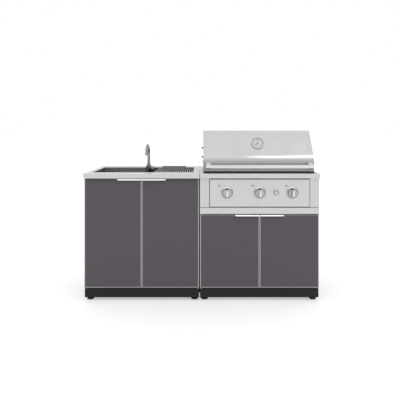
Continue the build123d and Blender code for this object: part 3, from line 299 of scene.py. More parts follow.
def painted(name, colours, rough, scale, detail=2.0, specular=0.5, grain=0.05, depth=0.05 * MM):
    """A paint between two colours and two roughnesses; grain and depth are its bump."""
    material, tree, shader, place = new_finish(name, 0.0, specular)
    mottle = use_group(tree, mottle_group, place, Scale=scale, Detail=detail)
    tree.links.new(blend(tree, mottle["Tone"], *colours), shader.inputs["Base Color"])
    tree.links.new(spread(tree, mottle["Gloss"], 0.0, 1.0, *rough), shader.inputs["Roughness"])
    bump(tree, shader, mottle["Tone"], grain, depth)
    return material


print("helpers for materials ready")

# %% [markdown]
# Stainless sheet covers most of this kitchen: worktops, hood, control panel and basin.
# One function makes each steel from its level, its roughness and the way its grain runs,
# so that the hood and the worktop can differ a little, as sheets from two belts do.
# Satin sheet scatters light more evenly than a mirror does, so the flat fronts are only partly
# metallic, which lets soft shadows fall on them.

# %% Plain steels
ALONG_X = (6.0, 900.0, 900.0)
ALONG_Y = (900.0, 6.0, 900.0)
ALONG_Z = (900.0, 900.0, 6.0)
SATIN = 0.5
SMUDGE_TONES = (0.94, 1.03)
LINE_TONE = 1.05
WORN_TONE = 1.3
WORN_LIMIT = 0.92
LINE_ROUGH = (0.85, 1.15)
SMUDGE_ROUGH = (-0.04, 0.05)
GRAIN_BUMP = 0.12
GRAIN_DEPTH = 0.12 * MM


def brushed(name, level, rough, along=ALONG_X, warm=0.0, wear=1.2 * MM, metal=1.0, fades=()):
    """A steel; a fade is a direction, the places where it starts and ends, and its last level."""
    material, tree, shader, place = new_finish(name, metal)
    grain = use_group(tree, grain_group, place, Stretch=along)
    worn = use_group(tree, wear_group, place, Radius=wear)["Mask"]
    dull, clean = (grey(level * tone, warm) for tone in SMUDGE_TONES)
    smudged = blend(tree, grain["Smudge"], dull, clean)
    tone = blend(tree, grain["Lines"], smudged, grey(level * LINE_TONE, warm))
    for direction, start, end, end_level in fades:
        fade = use_group(tree, fade_group, place, Direction=direction, Start=start, End=end)
        tone = blend(tree, fade["Reached"], tone, grey(end_level, warm))
    polished_edge = grey(min(level * WORN_TONE, WORN_LIMIT), warm)
    tree.links.new(blend(tree, worn, tone, polished_edge), shader.inputs["Base Color"])
    smooth_line, rough_line = (rough * share for share in LINE_ROUGH)
    line_rough = spread(tree, grain["Lines"], 0.0, 1.0, smooth_line, rough_line)
    smudge_rough = spread(tree, grain["Smudge"], 0.0, 1.0, *SMUDGE_ROUGH)
    tree.links.new(math_node(tree, "ADD", line_rough, smudge_rough), shader.inputs["Roughness"])
    bump(tree, shader, grain["Height"], GRAIN_BUMP, GRAIN_DEPTH)
    return material


counter_steel = brushed("worktop_steel", 0.64, 0.34, metal=SATIN)
front_steel = brushed("front_steel", 0.64, 0.33, metal=SATIN)
handle_steel = brushed("handle_steel", 0.66, 0.22)
stile_steel = brushed("stile_steel", 0.63, 0.34, along=ALONG_Z, metal=SATIN)
inner_steel = brushed("firebox_steel", 0.14, 0.50)
tap_nickel = brushed("tap_nickel", 0.31, 0.24, along=ALONG_Z)
polished_steel = brushed("polished_steel", 0.52, 0.20)
zinc = brushed("zinc_plate", 0.38, 0.40, warm=0.01)
trim_aluminium = brushed("trim_aluminium", 0.42, 0.38, along=ALONG_Z)
pull_aluminium = brushed("pull_aluminium", 0.97, 0.30)
print("steels made:", len(bpy.data.materials))

# %% [markdown]
# Some metal is darker in part: the lower front of the hood, the basin under the rack, the rear of
# the rods and the top edges of the doors. These darker tones are painted shade. The plain light of
# this scene doesn't give all of them, and separate pieces for them would be false, so each metal
# fades to a darker level there.

# %% Metals with painted shade in part
FROM_LEFT = (1.0, 0.0, 0.0)
FROM_FRONT = (0.0, 1.0, 0.0)
FROM_FLOOR = (0.0, 0.0, 1.0)
HOOD_PAINTED_SHADE_START = 100 * MM
HOOD_PAINTED_SHADE_FULL = 48 * MM
BASIN_PAINTED_SHADE_START = 50 * MM
BASIN_PAINTED_SHADE_FULL = 10 * MM
ROD_PAINTED_SHADE_START = 130 * MM
ROD_PAINTED_SHADE_FULL = 240 * MM
EDGE_PAINTED_SHADE_START = 6 * MM
EDGE_PAINTED_SHADE_FULL = 5 * MM

hood_bottom = low_corner("hood_shell").z
# The lower front of the hood fades darker towards its bottom edge: painted shade.
hood_painted_shade = (FROM_FLOOR, hood_bottom + HOOD_PAINTED_SHADE_START, hood_bottom + HOOD_PAINTED_SHADE_FULL, 0.25)
hood_steel = brushed("hood_steel", 0.62, 0.16, fades=[hood_painted_shade])

rack_corner = low_corner("drying_rack")
# The basin under the rack is painted darker: painted shade.
basin_painted_shade = (FROM_LEFT, rack_corner.x - BASIN_PAINTED_SHADE_START, rack_corner.x - BASIN_PAINTED_SHADE_FULL, 0.06)
basin_steel = brushed("basin_steel", 0.26, 0.40, fades=[basin_painted_shade])
# The rear of the rack's rods is painted darker: painted shade.
rod_painted_shade = (FROM_FRONT, rack_corner.y + ROD_PAINTED_SHADE_START, rack_corner.y + ROD_PAINTED_SHADE_FULL, 0.35)
rack_steel = brushed("rack_steel", 0.74, 0.34, along=ALONG_Y, metal=SATIN, fades=[rod_painted_shade])


def door_trim(cabinet, painted_shade_level):
    """Aluminium for the door edges of one cabinet, with painted shade along the top."""
    top = high_corner(f"{cabinet}_left_door_frame").z
    edge_painted_shade = (FROM_FLOOR, top - EDGE_PAINTED_SHADE_START, top - EDGE_PAINTED_SHADE_FULL, painted_shade_level)
    return brushed(f"{cabinet}_door_trim", 0.42, 0.38, along=ALONG_Z, fades=[edge_painted_shade])


# The top edges of the door trims are painted darker: painted shade under the worktop's edge.
sink_door_trim = door_trim("sink", 0.10)
grill_door_trim = door_trim("grill", 0.24)
print("hood shade starts at", round(hood_bottom + HOOD_PAINTED_SHADE_START, 3))

# %% [markdown]
# A knob has a dull round face and a bar across it. The knob is one solid, so the depth of a point
# tells these apart. The sides of the bar are darker with painted shade and its front is brighter
# with a painted highlight. The upper rim of the knob is dark with painted shade and the top of the
# bezel light with a painted highlight, so both fade there as well.

# %% Knob and bezel steels
BAR_HEIGHT = 22 * MM
FACE_FADE = (2 * MM, 0.5 * MM)
BAR_SIDE_PAINTED_SHADE = (0.5 * MM, 2 * MM)
BAR_PAINTED_HIGHLIGHT = (4 * MM, 0.5 * MM)
RIM_PAINTED_SHADE = (20 * MM, 25 * MM)
BEZEL_PAINTED_HIGHLIGHT = (20 * MM, 34 * MM)
knob_front = low_corner("knob_middle").y
knob_face = knob_front + BAR_HEIGHT
knob_axis = middle("knob_middle").z
# Painted shade darkens the sides of the bar and the top rim; a painted highlight brightens the bar's front.
knob_painted_light = [
    (FROM_FRONT, knob_face + FACE_FADE[0], knob_face + FACE_FADE[1], 0.44),
    (FROM_FRONT, knob_face - BAR_SIDE_PAINTED_SHADE[0], knob_face - BAR_SIDE_PAINTED_SHADE[1], 0.24),
    (FROM_FRONT, knob_front + BAR_PAINTED_HIGHLIGHT[0], knob_front + BAR_PAINTED_HIGHLIGHT[1], 0.70),
    (FROM_FLOOR, knob_axis + RIM_PAINTED_SHADE[0], knob_axis + RIM_PAINTED_SHADE[1], 0.09),
]
knob_steel = brushed("knob_steel", 0.24, 0.26, along=ALONG_Z, fades=knob_painted_light)
# The top of the bezel is painted light: a painted highlight.
bezel_painted_highlight = (FROM_FLOOR, knob_axis + BEZEL_PAINTED_HIGHLIGHT[0], knob_axis + BEZEL_PAINTED_HIGHLIGHT[1], 0.85)
bezel_chrome = brushed("bezel_chrome", 0.35, 0.18, fades=[bezel_painted_highlight])
print("knob face at y", round(knob_face, 4))

# %% [markdown]
# The door skins, side panels and plinths are powder coated. Such a coat chips along the edges, so
# the wear mask mixes in a lighter colour there.

# %% Powder-coated finishes
CHIP_RADIUS = 0.8 * MM
CHIP_BREAKS = 140.0
PEEL_BUMP = 0.18
PEEL_DEPTH = 0.2 * MM


def shade(colour, factor):
    """The same colour, darker or lighter."""
    return tuple(channel * factor for channel in colour)


def coated(name, colour, chipped, rough):
    material, tree, shader, place = new_finish(name, 0.0, 0.2)
    coat = use_group(tree, coat_group, place)
    worn = use_group(tree, wear_group, place, Radius=CHIP_RADIUS, Break_up=CHIP_BREAKS)["Mask"]
    cloudy = blend(tree, coat["Cloud"], shade(colour, 0.93), colour)
    flecked = blend(tree, coat["Speckle"], cloudy, shade(colour, 1.08))
    tree.links.new(blend(tree, worn, flecked, chipped), shader.inputs["Base Color"])
    gloss = spread(tree, coat["Cloud"], 0.0, 1.0, rough - 0.05, rough + 0.06)
    tree.links.new(gloss, shader.inputs["Roughness"])
    bump(tree, shader, coat["Height"], PEEL_BUMP, PEEL_DEPTH)
    return material


slate_coat = coated("slate_coat", (0.112, 0.100, 0.114), (0.26, 0.25, 0.26), 0.52)
black_coat = coated("plinth_coat", (0.020, 0.020, 0.021), (0.08, 0.08, 0.08), 0.55)
print("coats made")

# %% [markdown]
# The hidden grill parts have finishes of their own: enamelled iron for the grates, brass for the
# gas train, and steel that fire has tinted straw and blue for burners and heat tents.

# %% Iron, brass and heat-tinted steel
STRAW = (1.0, 0.82, 0.55)
BLUE = (0.55, 0.62, 0.85)


def rough_cast(name, colour, rough):
    material, tree, shader, place = new_finish(name, 0.0, 0.4)
    pits = noise(tree, place, 600.0, 4.0, 0.7)
    worn = use_group(tree, wear_group, place, Radius=1.5 * MM, Break_up=90.0)["Mask"]
    seasoned = blend(tree, noise(tree, place, 14.0, 3.0), colour, shade(colour, 1.7))
    tree.links.new(blend(tree, worn, seasoned, shade(colour, 3.0)), shader.inputs["Base Color"])
    gloss = spread(tree, pits, 0.3, 0.7, rough - 0.1, rough + 0.12)
    tree.links.new(gloss, shader.inputs["Roughness"])
    bump(tree, shader, pits, 0.5, 0.6 * MM)
    return material


def tinted(name, level):
    material, tree, shader, place = new_finish(name, 1.0)
    grain = use_group(tree, grain_group, place, Stretch=ALONG_Y)
    worn = use_group(tree, wear_group, place)["Mask"]
    heat = noise(tree, place, 5.0, 3.0)
    warmed = spread(tree, heat, 0.38, 0.6, 0.0, 1.0)
    glowed = spread(tree, heat, 0.56, 0.7, 0.0, 1.0)
    straw = blend(tree, warmed, grey(level), shade(STRAW, level))
    blue = blend(tree, glowed, straw, shade(BLUE, level))
    tree.links.new(blend(tree, worn, blue, grey(level * 1.2)), shader.inputs["Base Color"])
    tree.links.new(spread(tree, grain["Lines"], 0.0, 1.0, 0.34, 0.5), shader.inputs["Roughness"])
    bump(tree, shader, grain["Height"], 0.15, 0.2 * MM)
    return material


def tarnished(name, dark, light, polished):
    material, tree, shader, place = new_finish(name, 1.0)
    grain = use_group(tree, grain_group, place, Stretch=ALONG_X)
    worn = use_group(tree, wear_group, place)["Mask"]
    tarnish = blend(tree, grain["Smudge"], dark, light)
    tree.links.new(blend(tree, worn, tarnish, polished), shader.inputs["Base Color"])
    tree.links.new(spread(tree, grain["Lines"], 0.0, 1.0, 0.26, 0.4), shader.inputs["Roughness"])
    bump(tree, shader, grain["Height"], 0.1, 0.2 * MM)
    return material


grate_iron = rough_cast("grate_iron", (0.022, 0.021, 0.020), 0.55)
burner_steel = tinted("burner_steel", 0.5)
brass = tarnished("valve_brass", (0.46, 0.31, 0.12), (0.70, 0.50, 0.22), (0.85, 0.68, 0.38))
print("grill finishes made")

# %% [markdown]
# A levelling foot is a black moulded pad on a zinc-plated screw. In the CAD it is one solid, so
# one material tells the two apart by height: below the pad's top it is plastic, above it metal.

# %% Foot finish, split by height
PAD_TOP = 12 * MM
foot_finish, foot_tree, foot_shader, foot_place = new_finish("foot_pad_and_screw", 0.0)
foot_split = add(foot_tree, "ShaderNodeSeparateXYZ")
foot_tree.links.new(foot_place, foot_split.inputs[0])
is_screw = math_node(foot_tree, "GREATER_THAN", foot_split.outputs["Z"], PAD_TOP)
pad_noise = noise(foot_tree, foot_place, 300.0, 3.0)
pad_colour = blend(foot_tree, pad_noise, (0.016, 0.016, 0.017), (0.03, 0.03, 0.031))
screw_noise = noise(foot_tree, foot_place, 40.0, 3.0)
screw_colour = blend(foot_tree, screw_noise, grey(0.3), grey(0.42, 0.02))
foot_colour = blend(foot_tree, is_screw, pad_colour, screw_colour)
foot_gloss = spread(foot_tree, pad_noise, 0.3, 0.7, 0.4, 0.6)
foot_tree.links.new(foot_colour, foot_shader.inputs["Base Color"])
foot_tree.links.new(is_screw, foot_shader.inputs["Metallic"])
foot_tree.links.new(foot_gloss, foot_shader.inputs["Roughness"])
bump(foot_tree, foot_shader, pad_noise, 0.2, 0.3 * MM)
print("foot finish splits at", PAD_TOP)

# %% [markdown]
# Each CAD node takes one of these finishes. A table from finish to node names is easier to check
# than sixty assignments, and a node that is left out of it stops the script.

# %% Put the finishes on the CAD nodes
cabinets = ("sink", "grill")
door_nodes = [f"{cabinet}_{side}_door" for cabinet in cabinets for side in ("left", "right")]
panel_nodes = [f"{cabinet}_cabinet_{panel}" for cabinet in cabinets for panel in ("sides", "back", "floor")]
knob_sides = ("left", "middle", "right")
finish_table = [
    (counter_steel, ["sink_countertop", "grill_countertop"]),
    (hood_steel, ["hood_shell"]),
    (front_steel, ["control_panel", "grill_lower_rail"]),
    (stile_steel, ["grill_stiles"]),
    (basin_steel, ["sink_basin", "drain_fitting", "strainer_basket"]),
    (rack_steel, ["drying_rack", "warming_rack"]),
    (inner_steel, ["firebox", "hood_side_plates", "hood_bolts", "drip_tray"]),
    (tap_nickel, ["faucet_body", "faucet_spout", "faucet_aerator", "faucet_lever"]),
    (handle_steel, ["hood_handle"]),
    (polished_steel, ["igniter_button", "thermometer_case"]),
    (bezel_chrome, ["control_bezels"]),
    (knob_steel, [f"knob_{side}" for side in knob_sides]),
    (zinc, [f"valve_stem_{side}" for side in knob_sides]),
    (zinc, ["door_pivot_plates"]),
    (trim_aluminium, ["sink_face_frame", "grill_face_frame"]),
    (sink_door_trim, ["sink_left_door_frame", "sink_right_door_frame"]),
    (grill_door_trim, ["grill_left_door_frame", "grill_right_door_frame"]),
    (pull_aluminium, [f"{door}_pull" for door in door_nodes]),
    (slate_coat, [f"{door}_skin" for door in door_nodes]),
    (slate_coat, panel_nodes),
    (black_coat, ["sink_plinth", "grill_plinth", "module_joining_set"]),
    (foot_finish, ["levelling_feet"]),
    (grate_iron, ["cooking_grates"]),
    (burner_steel, ["burners", "heat_tents"]),
    (brass, ["gas_train", "faucet_mount_nut"]),
]
dressed = {}
for finish, names in finish_table:
    for name in names:
        mesh = nodes[name].data
        mesh.materials.clear()
        mesh.materials.append(finish)
        dressed[name] = finish.name
undressed = sorted(set(nodes) - set(dressed) - {"thermometer_needle"})
if undressed:
    raise RuntimeError(f"no finish for {undressed}")
print("finishes on", len(dressed), "nodes")

# %% [markdown]
# New pieces are built with bmesh and then become ordinary mesh objects. Their place is in the
# mesh, so the object stays at the origin, just as the CAD nodes do. Each piece rides on the CAD
# body it is fixed to, so it moves with the door or the hood.

# %% Helpers that turn a bmesh into a piece of the kitchen
SMOOTH_ANGLE = math.radians(35)
SHARP_ANGLE = 0.6


def finish_piece(shape, name, material, body):
    bmesh.ops.recalc_face_normals(shape, faces=shape.faces)
    mesh = bpy.data.meshes.new(name)
    shape.to_mesh(mesh)
    shape.free()
    for polygon in mesh.polygons:
        polygon.use_smooth = True
    mesh.set_sharp_from_angle(angle=SMOOTH_ANGLE)
    mesh.materials.append(material)
    piece = bpy.data.objects.new(name, mesh)
    scene.collection.objects.link(piece)
    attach(piece, body)
    print("piece", name, len(mesh.polygons), "faces")


def disc(shape, radius, height, place, segments=32, top_radius=None):
    """A capped round plug standing on the plane that the matrix gives."""
    top = radius if top_radius is None else top_radius
    bmesh.ops.create_cone(
        shape, cap_ends=True, segments=segments, radius1=radius, radius2=top, depth=height,
        matrix=place @ Matrix.Translation((0, 0, height / 2)),
    )


def block(shape, size, place):
    """A box of the given size, in the middle of the place that the matrix gives."""
    bmesh.ops.create_cube(shape, size=1.0, matrix=place @ Matrix.Diagonal((*size, 1.0)))


def bar_between(low, high):
    """A new shape that is one box between two corners."""
    shape = bmesh.new()
    block(shape, high - low, Matrix.Translation((low + high) / 2))
    return shape


def soften(shape, width):
    """Round every sharp edge of the shape."""
    sharp = [edge for edge in shape.edges if edge.calc_face_angle() > SHARP_ANGLE]
    bmesh.ops.bevel(
        shape, geom=sharp, offset=width, offset_type="OFFSET", affect="EDGES",
        segments=2, profile=0.5, material=-1, clamp_overlap=True,
    )


FACING_FRONT = Matrix.Rotation(math.radians(90), 4, "X")
FACING_BACK = Matrix.Rotation(math.radians(-90), 4, "X")
print("helpers ready")

# %% [markdown]
# The thermometer on the hood is a printed dial under a domed glass, pale, with plain tick marks and
# a few numbers. It could be modelled in place, but then every mark would need the slope of the
# hood. So all is made flat at the origin, and one matrix lays it on the slope.

# %% Dial plate of the thermometer
HOOD_LEAN = math.radians(35)
GAUGE_FLOOR = 4 * MM
NEEDLE_HEIGHT = 6 * MM
DIAL_RADIUS = 41.6 * MM
DIAL_SHEET = 0.6 * MM
hinge = next(joint for joint in frame["joints"] if joint["name"] == "needle_turn")
gauge_axis = -Vector(hinge["axis"]).normalized()
gauge_centre = Vector(hinge["pos_m"]) - gauge_axis * NEEDLE_HEIGHT
gauge_turn = Matrix.Rotation(math.pi / 2 - HOOD_LEAN, 4, "X")
gauge_place = Matrix.Translation(gauge_centre) @ gauge_turn

DIAL_COLOURS = (0.91, 0.91, 0.90), (0.96, 0.96, 0.95)
dial_paint = painted(
    "dial_enamel", DIAL_COLOURS, (0.35, 0.5), 900.0, specular=0.4, depth=0.1 * MM
)
dial = bmesh.new()
disc(dial, DIAL_RADIUS, DIAL_SHEET, gauge_place @ Matrix.Translation((0, 0, GAUGE_FLOOR)), 64)
finish_piece(dial, "thermometer_dial", dial_paint, "hood")

# %% [markdown]
# Tick marks run clockwise from lower left to lower right, long ones at every fifth step. Each
# mark is a thin block that is turned to its angle and laid on the dial.

# %% Tick marks
INK_COLOURS = (0.03, 0.03, 0.032), (0.06, 0.06, 0.062)
ink = painted("print_ink", INK_COLOURS, (0.5, 0.7), 2500.0, specular=0.3, grain=0.1)

INK = 0.15 * MM
TICKS = 30
TICKS_PER_NUMBER = 5
TICK_END = 39.0 * MM
LONG_TICK = (5.0 * MM, 0.8 * MM)
SHORT_TICK = (2.6 * MM, 0.4 * MM)
SWEEP = math.radians(270)
FIRST = math.radians(225)
print_height = GAUGE_FLOOR + DIAL_SHEET + INK / 2
ticks = bmesh.new()
for step in range(TICKS + 1):
    angle = FIRST - SWEEP * step / TICKS
    length, width = SHORT_TICK if step % TICKS_PER_NUMBER else LONG_TICK
    radius = TICK_END - length / 2
    spot = Matrix.Rotation(angle, 4, "Z") @ Matrix.Translation((radius, 0, print_height))
    block(ticks, (length, width, INK), gauge_place @ spot)
finish_piece(ticks, "thermometer_ticks", ink, "hood")

# %% [markdown]
# The numbers stand inside the long marks. Blender's text is a curve, so each number is made a mesh
# first and laid in its place after that, because a piece keeps its place in its mesh.

# %% Numbers
NUMBER_RADIUS = 27 * MM
NUMBER_SIZE = 5.5 * MM
LOWEST_NUMBER = 50
DEGREES_PER_TICK = 10


def number_mesh(text, size, place):
    """Text as a mesh, with its place worked into the vertices."""
    curve = bpy.data.curves.new("number", "FONT")
    curve.body = text
    curve.size = size
    curve.align_x = "CENTER"
    curve.align_y = "CENTER"
    curve.extrude = INK / 2
    holder = bpy.data.objects.new("number", curve)
    scene.collection.objects.link(holder)
    bpy.context.view_layer.update()
    mesh = bpy.data.meshes.new_from_object(holder)
    bpy.data.objects.remove(holder)
    mesh.transform(place)
    return mesh


numbers = bmesh.new()
for step in range(0, TICKS + 1, TICKS_PER_NUMBER):
    angle = FIRST - SWEEP * step / TICKS
    spot = Matrix.Translation(
        (NUMBER_RADIUS * math.cos(angle), NUMBER_RADIUS * math.sin(angle), print_height)
    )
    label = str(LOWEST_NUMBER + DEGREES_PER_TICK * step)
    mesh = number_mesh(label, NUMBER_SIZE, gauge_place @ spot)
    numbers.from_mesh(mesh)
    bpy.data.meshes.remove(mesh)
finish_piece(numbers, "thermometer_numbers", ink, "hood")

# %% [markdown]
# The needle keeps its CAD shape and gets a red lacquer. The glass over it is a shallow dome:
# a quarter arc spun round the middle and given a wall.

# %% Needle finish and glass
RED_COLOURS = (0.30, 0.035, 0.03), (0.36, 0.05, 0.04)
needle_red = painted("needle_lacquer", RED_COLOURS, (0.3, 0.42), 1200.0)
nodes["thermometer_needle"].data.materials.clear()
nodes["thermometer_needle"].data.materials.append(needle_red)

glass, glass_tree, glass_shader, glass_at = new_finish("gauge_glass", 0.0)
glass_shader.inputs["Transmission Weight"].default_value = 1.0
glass_shader.inputs["IOR"].default_value = 1.3
glass_smear = noise(glass_tree, glass_at, 30.0, 4.0)
glass_colour = blend(glass_tree, glass_smear, (0.96, 0.97, 0.97), (0.98, 0.99, 0.99))
glass_tree.links.new(glass_colour, glass_shader.inputs["Base Color"])
glass_rough = spread(glass_tree, glass_smear, 0.4, 0.7, 0.0, 0.06)
glass_tree.links.new(glass_rough, glass_shader.inputs["Roughness"])
bump(glass_tree, glass_shader, glass_smear, 0.02, 0.1 * MM)

GLASS_RADIUS = 41.8 * MM
GLASS_FOOT = 9.0 * MM
GLASS_RISE = 2.4 * MM
GLASS_WALL = 1.2 * MM
ARC_STEPS = 8
MERGE_DISTANCE = 0.02 * MM
lens = bmesh.new()
previous = lens.verts.new((GLASS_RADIUS, 0, GLASS_FOOT))
for step in range(1, ARC_STEPS + 1):
    turn = math.pi / 2 * step / ARC_STEPS
    spot = (GLASS_RADIUS * math.cos(turn), 0, GLASS_FOOT + GLASS_RISE * math.sin(turn))
    following = lens.verts.new(spot)
    lens.edges.new((previous, following))
    previous = following
bmesh.ops.spin(
    lens, geom=lens.verts[:] + lens.edges[:], cent=(0, 0, 0), axis=(0, 0, 1),
    angle=math.tau, steps=64, use_merge=True,
)
bmesh.ops.remove_doubles(lens, verts=lens.verts, dist=MERGE_DISTANCE)
bmesh.ops.recalc_face_normals(lens, faces=lens.faces)
bmesh.ops.solidify(lens, geom=lens.faces[:], thickness=GLASS_WALL)
bmesh.ops.transform(lens, matrix=gauge_place, verts=lens.verts)
finish_piece(lens, "thermometer_glass", glass, "hood")

# %% [markdown]
# Each knob has an inlaid line that shows where it points, and the panel carries a small mark above
# it on the left: three dots for the three burners, the knob's own burner as the large one. Three
# strokes beside the igniter stand for its spark. The line rides on the knob, the print does not.

# %% Knob lines
LINE_SIZE = (1.8 * MM, 0.5 * MM, 12 * MM)
LINE_UP = 17 * MM
LINE_ROUND = 0.15 * MM
for side in knob_sides:
    face = low_corner(f"knob_{side}").y
    centre = middle(f"knob_{side}")
    line = bmesh.new()
    block(line, LINE_SIZE, Matrix.Translation((centre.x, face, centre.z + LINE_UP)))
    soften(line, LINE_ROUND)
    finish_piece(line, f"knob_line_{side}", ink, f"{side}_knob")

# %% [markdown]
# The print on the panel is a hair of ink. Discs and blocks that stand a little proud of the steel
# keep sharp edges at any distance, which a painted texture would not.

# %% Panel print
PRINT = 0.2 * MM
MARK_PLACE = (-49 * MM, 46.5 * MM)
MARK_PITCH = 7 * MM
OWN_DOT = 4.6 * MM
OTHER_DOT = 2.0 * MM
SPARK_AWAY = 38 * MM
SPARK_SIZE = (6 * MM, 1.4 * MM, PRINT)
SPARK_ANGLES = (110, 135, 160)
panel_front = low_corner("control_panel").y
flame_print = bmesh.new()
for side in knob_sides:
    centre = middle(f"knob_{side}")
    on_panel = Matrix.Translation((centre.x, panel_front, centre.z)) @ FACING_FRONT
    for step, burner in enumerate(knob_sides):
        across = MARK_PLACE[0] + (step - 1) * MARK_PITCH
        radius = OWN_DOT if burner == side else OTHER_DOT
        spot = Matrix.Translation((across, MARK_PLACE[1], 0))
        disc(flame_print, radius, PRINT, on_panel @ spot, 24)
button = middle("igniter_button")
on_panel = Matrix.Translation((button.x, panel_front, button.z)) @ FACING_FRONT
for angle in SPARK_ANGLES:
    turn = Matrix.Rotation(math.radians(angle), 4, "Z")
    block(flame_print, SPARK_SIZE, on_panel @ turn @ Matrix.Translation((SPARK_AWAY, 0, PRINT / 2)))
finish_piece(flame_print, "panel_print", ink, "cabinets")

# %% [markdown]
# Pan-head screws hold the back panels and the pulls. One helper makes a head: a low plug with a
# tapered crown and a hexagon on top that is inset, which reads as the recess for the driver.

# %% Screws
HEAD_RADIUS = 4.2 * MM
HEAD_RISE = 2.0 * MM
HEX_LIFT = 0.02 * MM
BACK_MARGIN = 12 * MM
BACK_TOP_MARGIN = 60 * MM
PULL_SHARES = (0.2, 0.8)
PULL_SET = 7 * MM
PULL_HEAD_RADIUS = 3 * MM
PULL_HEAD_RISE = 1.1 * MM


def screw_head(shape, place, radius, rise):
    """A pan head with a sunken hexagon, standing on the matrix's plane."""
    disc(shape, radius, rise * 0.55, place, 20)
    crown = place @ Matrix.Translation((0, 0, rise * 0.55))
    disc(shape, radius, rise * 0.45, crown, 20, radius * 0.78)
    made = bmesh.ops.create_circle(
        shape, cap_ends=True, segments=6, radius=radius * 0.45,
        matrix=place @ Matrix.Translation((0, 0, rise + HEX_LIFT)),
    )
    sunk = {face for vert in made["verts"] for face in vert.link_faces}
    bmesh.ops.inset_region(shape, faces=list(sunk), thickness=radius * 0.08, depth=-rise * 0.02)


back_screws = bmesh.new()
for cabinet in cabinets:
    low, high = low_corner(f"{cabinet}_cabinet_back"), high_corner(f"{cabinet}_cabinet_back")
    for x in (low.x + BACK_MARGIN, (low.x + high.x) / 2, high.x - BACK_MARGIN):
        for z in (low.z + BACK_MARGIN, (low.z + high.z) / 2, high.z - BACK_TOP_MARGIN):
            place = Matrix.Translation((x, high.y, z)) @ FACING_BACK
            screw_head(back_screws, place, HEAD_RADIUS, HEAD_RISE)
finish_piece(back_screws, "back_panel_screws", zinc, "cabinets")

for door in door_nodes:
    low, high = low_corner(f"{door}_pull"), high_corner(f"{door}_pull")
    pull_screws = bmesh.new()
    for share in PULL_SHARES:
        x = low.x + (high.x - low.x) * share
        place = Matrix.Translation((x, high.y - PULL_SET, high.z))
        screw_head(pull_screws, place, PULL_HEAD_RADIUS, PULL_HEAD_RISE)
    finish_piece(pull_screws, f"{door}_pull_screws", zinc, door)

# %% [markdown]
# Rubber dots on the face frames stop the doors from clapping on metal. They are seen with the
# doors open, and they fill most of the gap behind a closed door.

# %% Door bumpers
RUBBER_COLOURS = (0.02, 0.02, 0.02), (0.04, 0.04, 0.04)
rubber = painted(
    "bumper_rubber", RUBBER_COLOURS, (0.6, 0.8), 800.0,
    detail=3.0, specular=0.3, grain=0.2, depth=0.2 * MM,
)
BUMPER_RADIUS = 5 * MM
BUMPER_TIP = 4 * MM
BUMPER_RISE = 2 * MM
BUMPER_ASIDE = 10 * MM
BUMPER_FROM_END = 45 * MM
bumpers = bmesh.new()
for cabinet in cabinets:
    frame_front = low_corner(f"{cabinet}_face_frame").y
    post = middle(f"{cabinet}_face_frame").x
    door_low = low_corner(f"{cabinet}_left_door_frame").z
    door_high = high_corner(f"{cabinet}_left_door_frame").z
    for x in (post - BUMPER_ASIDE, post + BUMPER_ASIDE):
        for z in (door_low + BUMPER_FROM_END, door_high - BUMPER_FROM_END):
            place = Matrix.Translation((x, frame_front, z)) @ FACING_FRONT
            disc(bumpers, BUMPER_RADIUS, BUMPER_RISE, place, 24, BUMPER_TIP)
finish_piece(bumpers, "door_bumpers", rubber, "cabinets")

# %% [markdown]
# A rubber seal fills the seam between the two worktops and keeps rain out of the cabinets. It is a
# long bar a little narrower than the seam, set back from the front edge and sunk below the top. A
# steel strip lies over it, so the seam is dark only at the front, as in the photo.

# %% Seal between the worktops
SEAL_PLAY = 0.1 * MM
SEAL_SET = 4 * MM
SEAL_DROP = 2 * MM
SEAL_ROUND = 0.7 * MM
COVER_DROP = 0.2 * MM
COVER_ROUND = 0.3 * MM
seam_left, seam_right = high_corner("sink_countertop"), low_corner("grill_countertop")
seal_low = Vector((seam_left.x + SEAL_PLAY, seam_right.y + SEAL_SET, seam_right.z))
seal_high = Vector((seam_right.x - SEAL_PLAY, seam_left.y - SEAL_SET, seam_left.z - SEAL_DROP))
seal = bar_between(seal_low, seal_high)
soften(seal, SEAL_ROUND)
finish_piece(seal, "worktop_seal", rubber, "cabinets")

cover_low = Vector((seal_low.x, seal_low.y, seal_high.z + COVER_DROP))
cover_high = Vector((seal_high.x, seal_high.y, counter_top - COVER_DROP))
cover = bar_between(cover_low, cover_high)
soften(cover, COVER_ROUND)
finish_piece(cover, "worktop_seam_cover", counter_steel, "cabinets")

# %% [markdown]
# The photo shows a dark line under the front edge of the hood. It is made as a strip of the same
# rubber that lies on the worktop there, so that the closed hood lands softly and wind stays out.

# %% Strip under the hood's front edge
STRIP_AHEAD = 26 * MM
STRIP_UNDER = 6 * MM
STRIP_PLAY = 1 * MM
STRIP_END = 4 * MM
STRIP_ROUND = 1.5 * MM
hood_low, hood_high = low_corner("hood_shell"), high_corner("hood_shell")
strip_low = Vector((hood_low.x + STRIP_END, hood_low.y - STRIP_AHEAD, counter_top))
strip_high = Vector((hood_high.x - STRIP_END, hood_low.y + STRIP_UNDER, hood_low.z - STRIP_PLAY))
strip = bar_between(strip_low, strip_high)
soften(strip, STRIP_ROUND)
finish_piece(strip, "hood_strip", rubber, "cabinets")

# %% [markdown]
# Gas leaves a burner through rows of small ports along both sides of the tube. They are drawn as
# dark plugs almost flush with the tube, which reads as holes and keeps the tube whole. Their
# near-black colour is painted shade, the dark inside of each port.

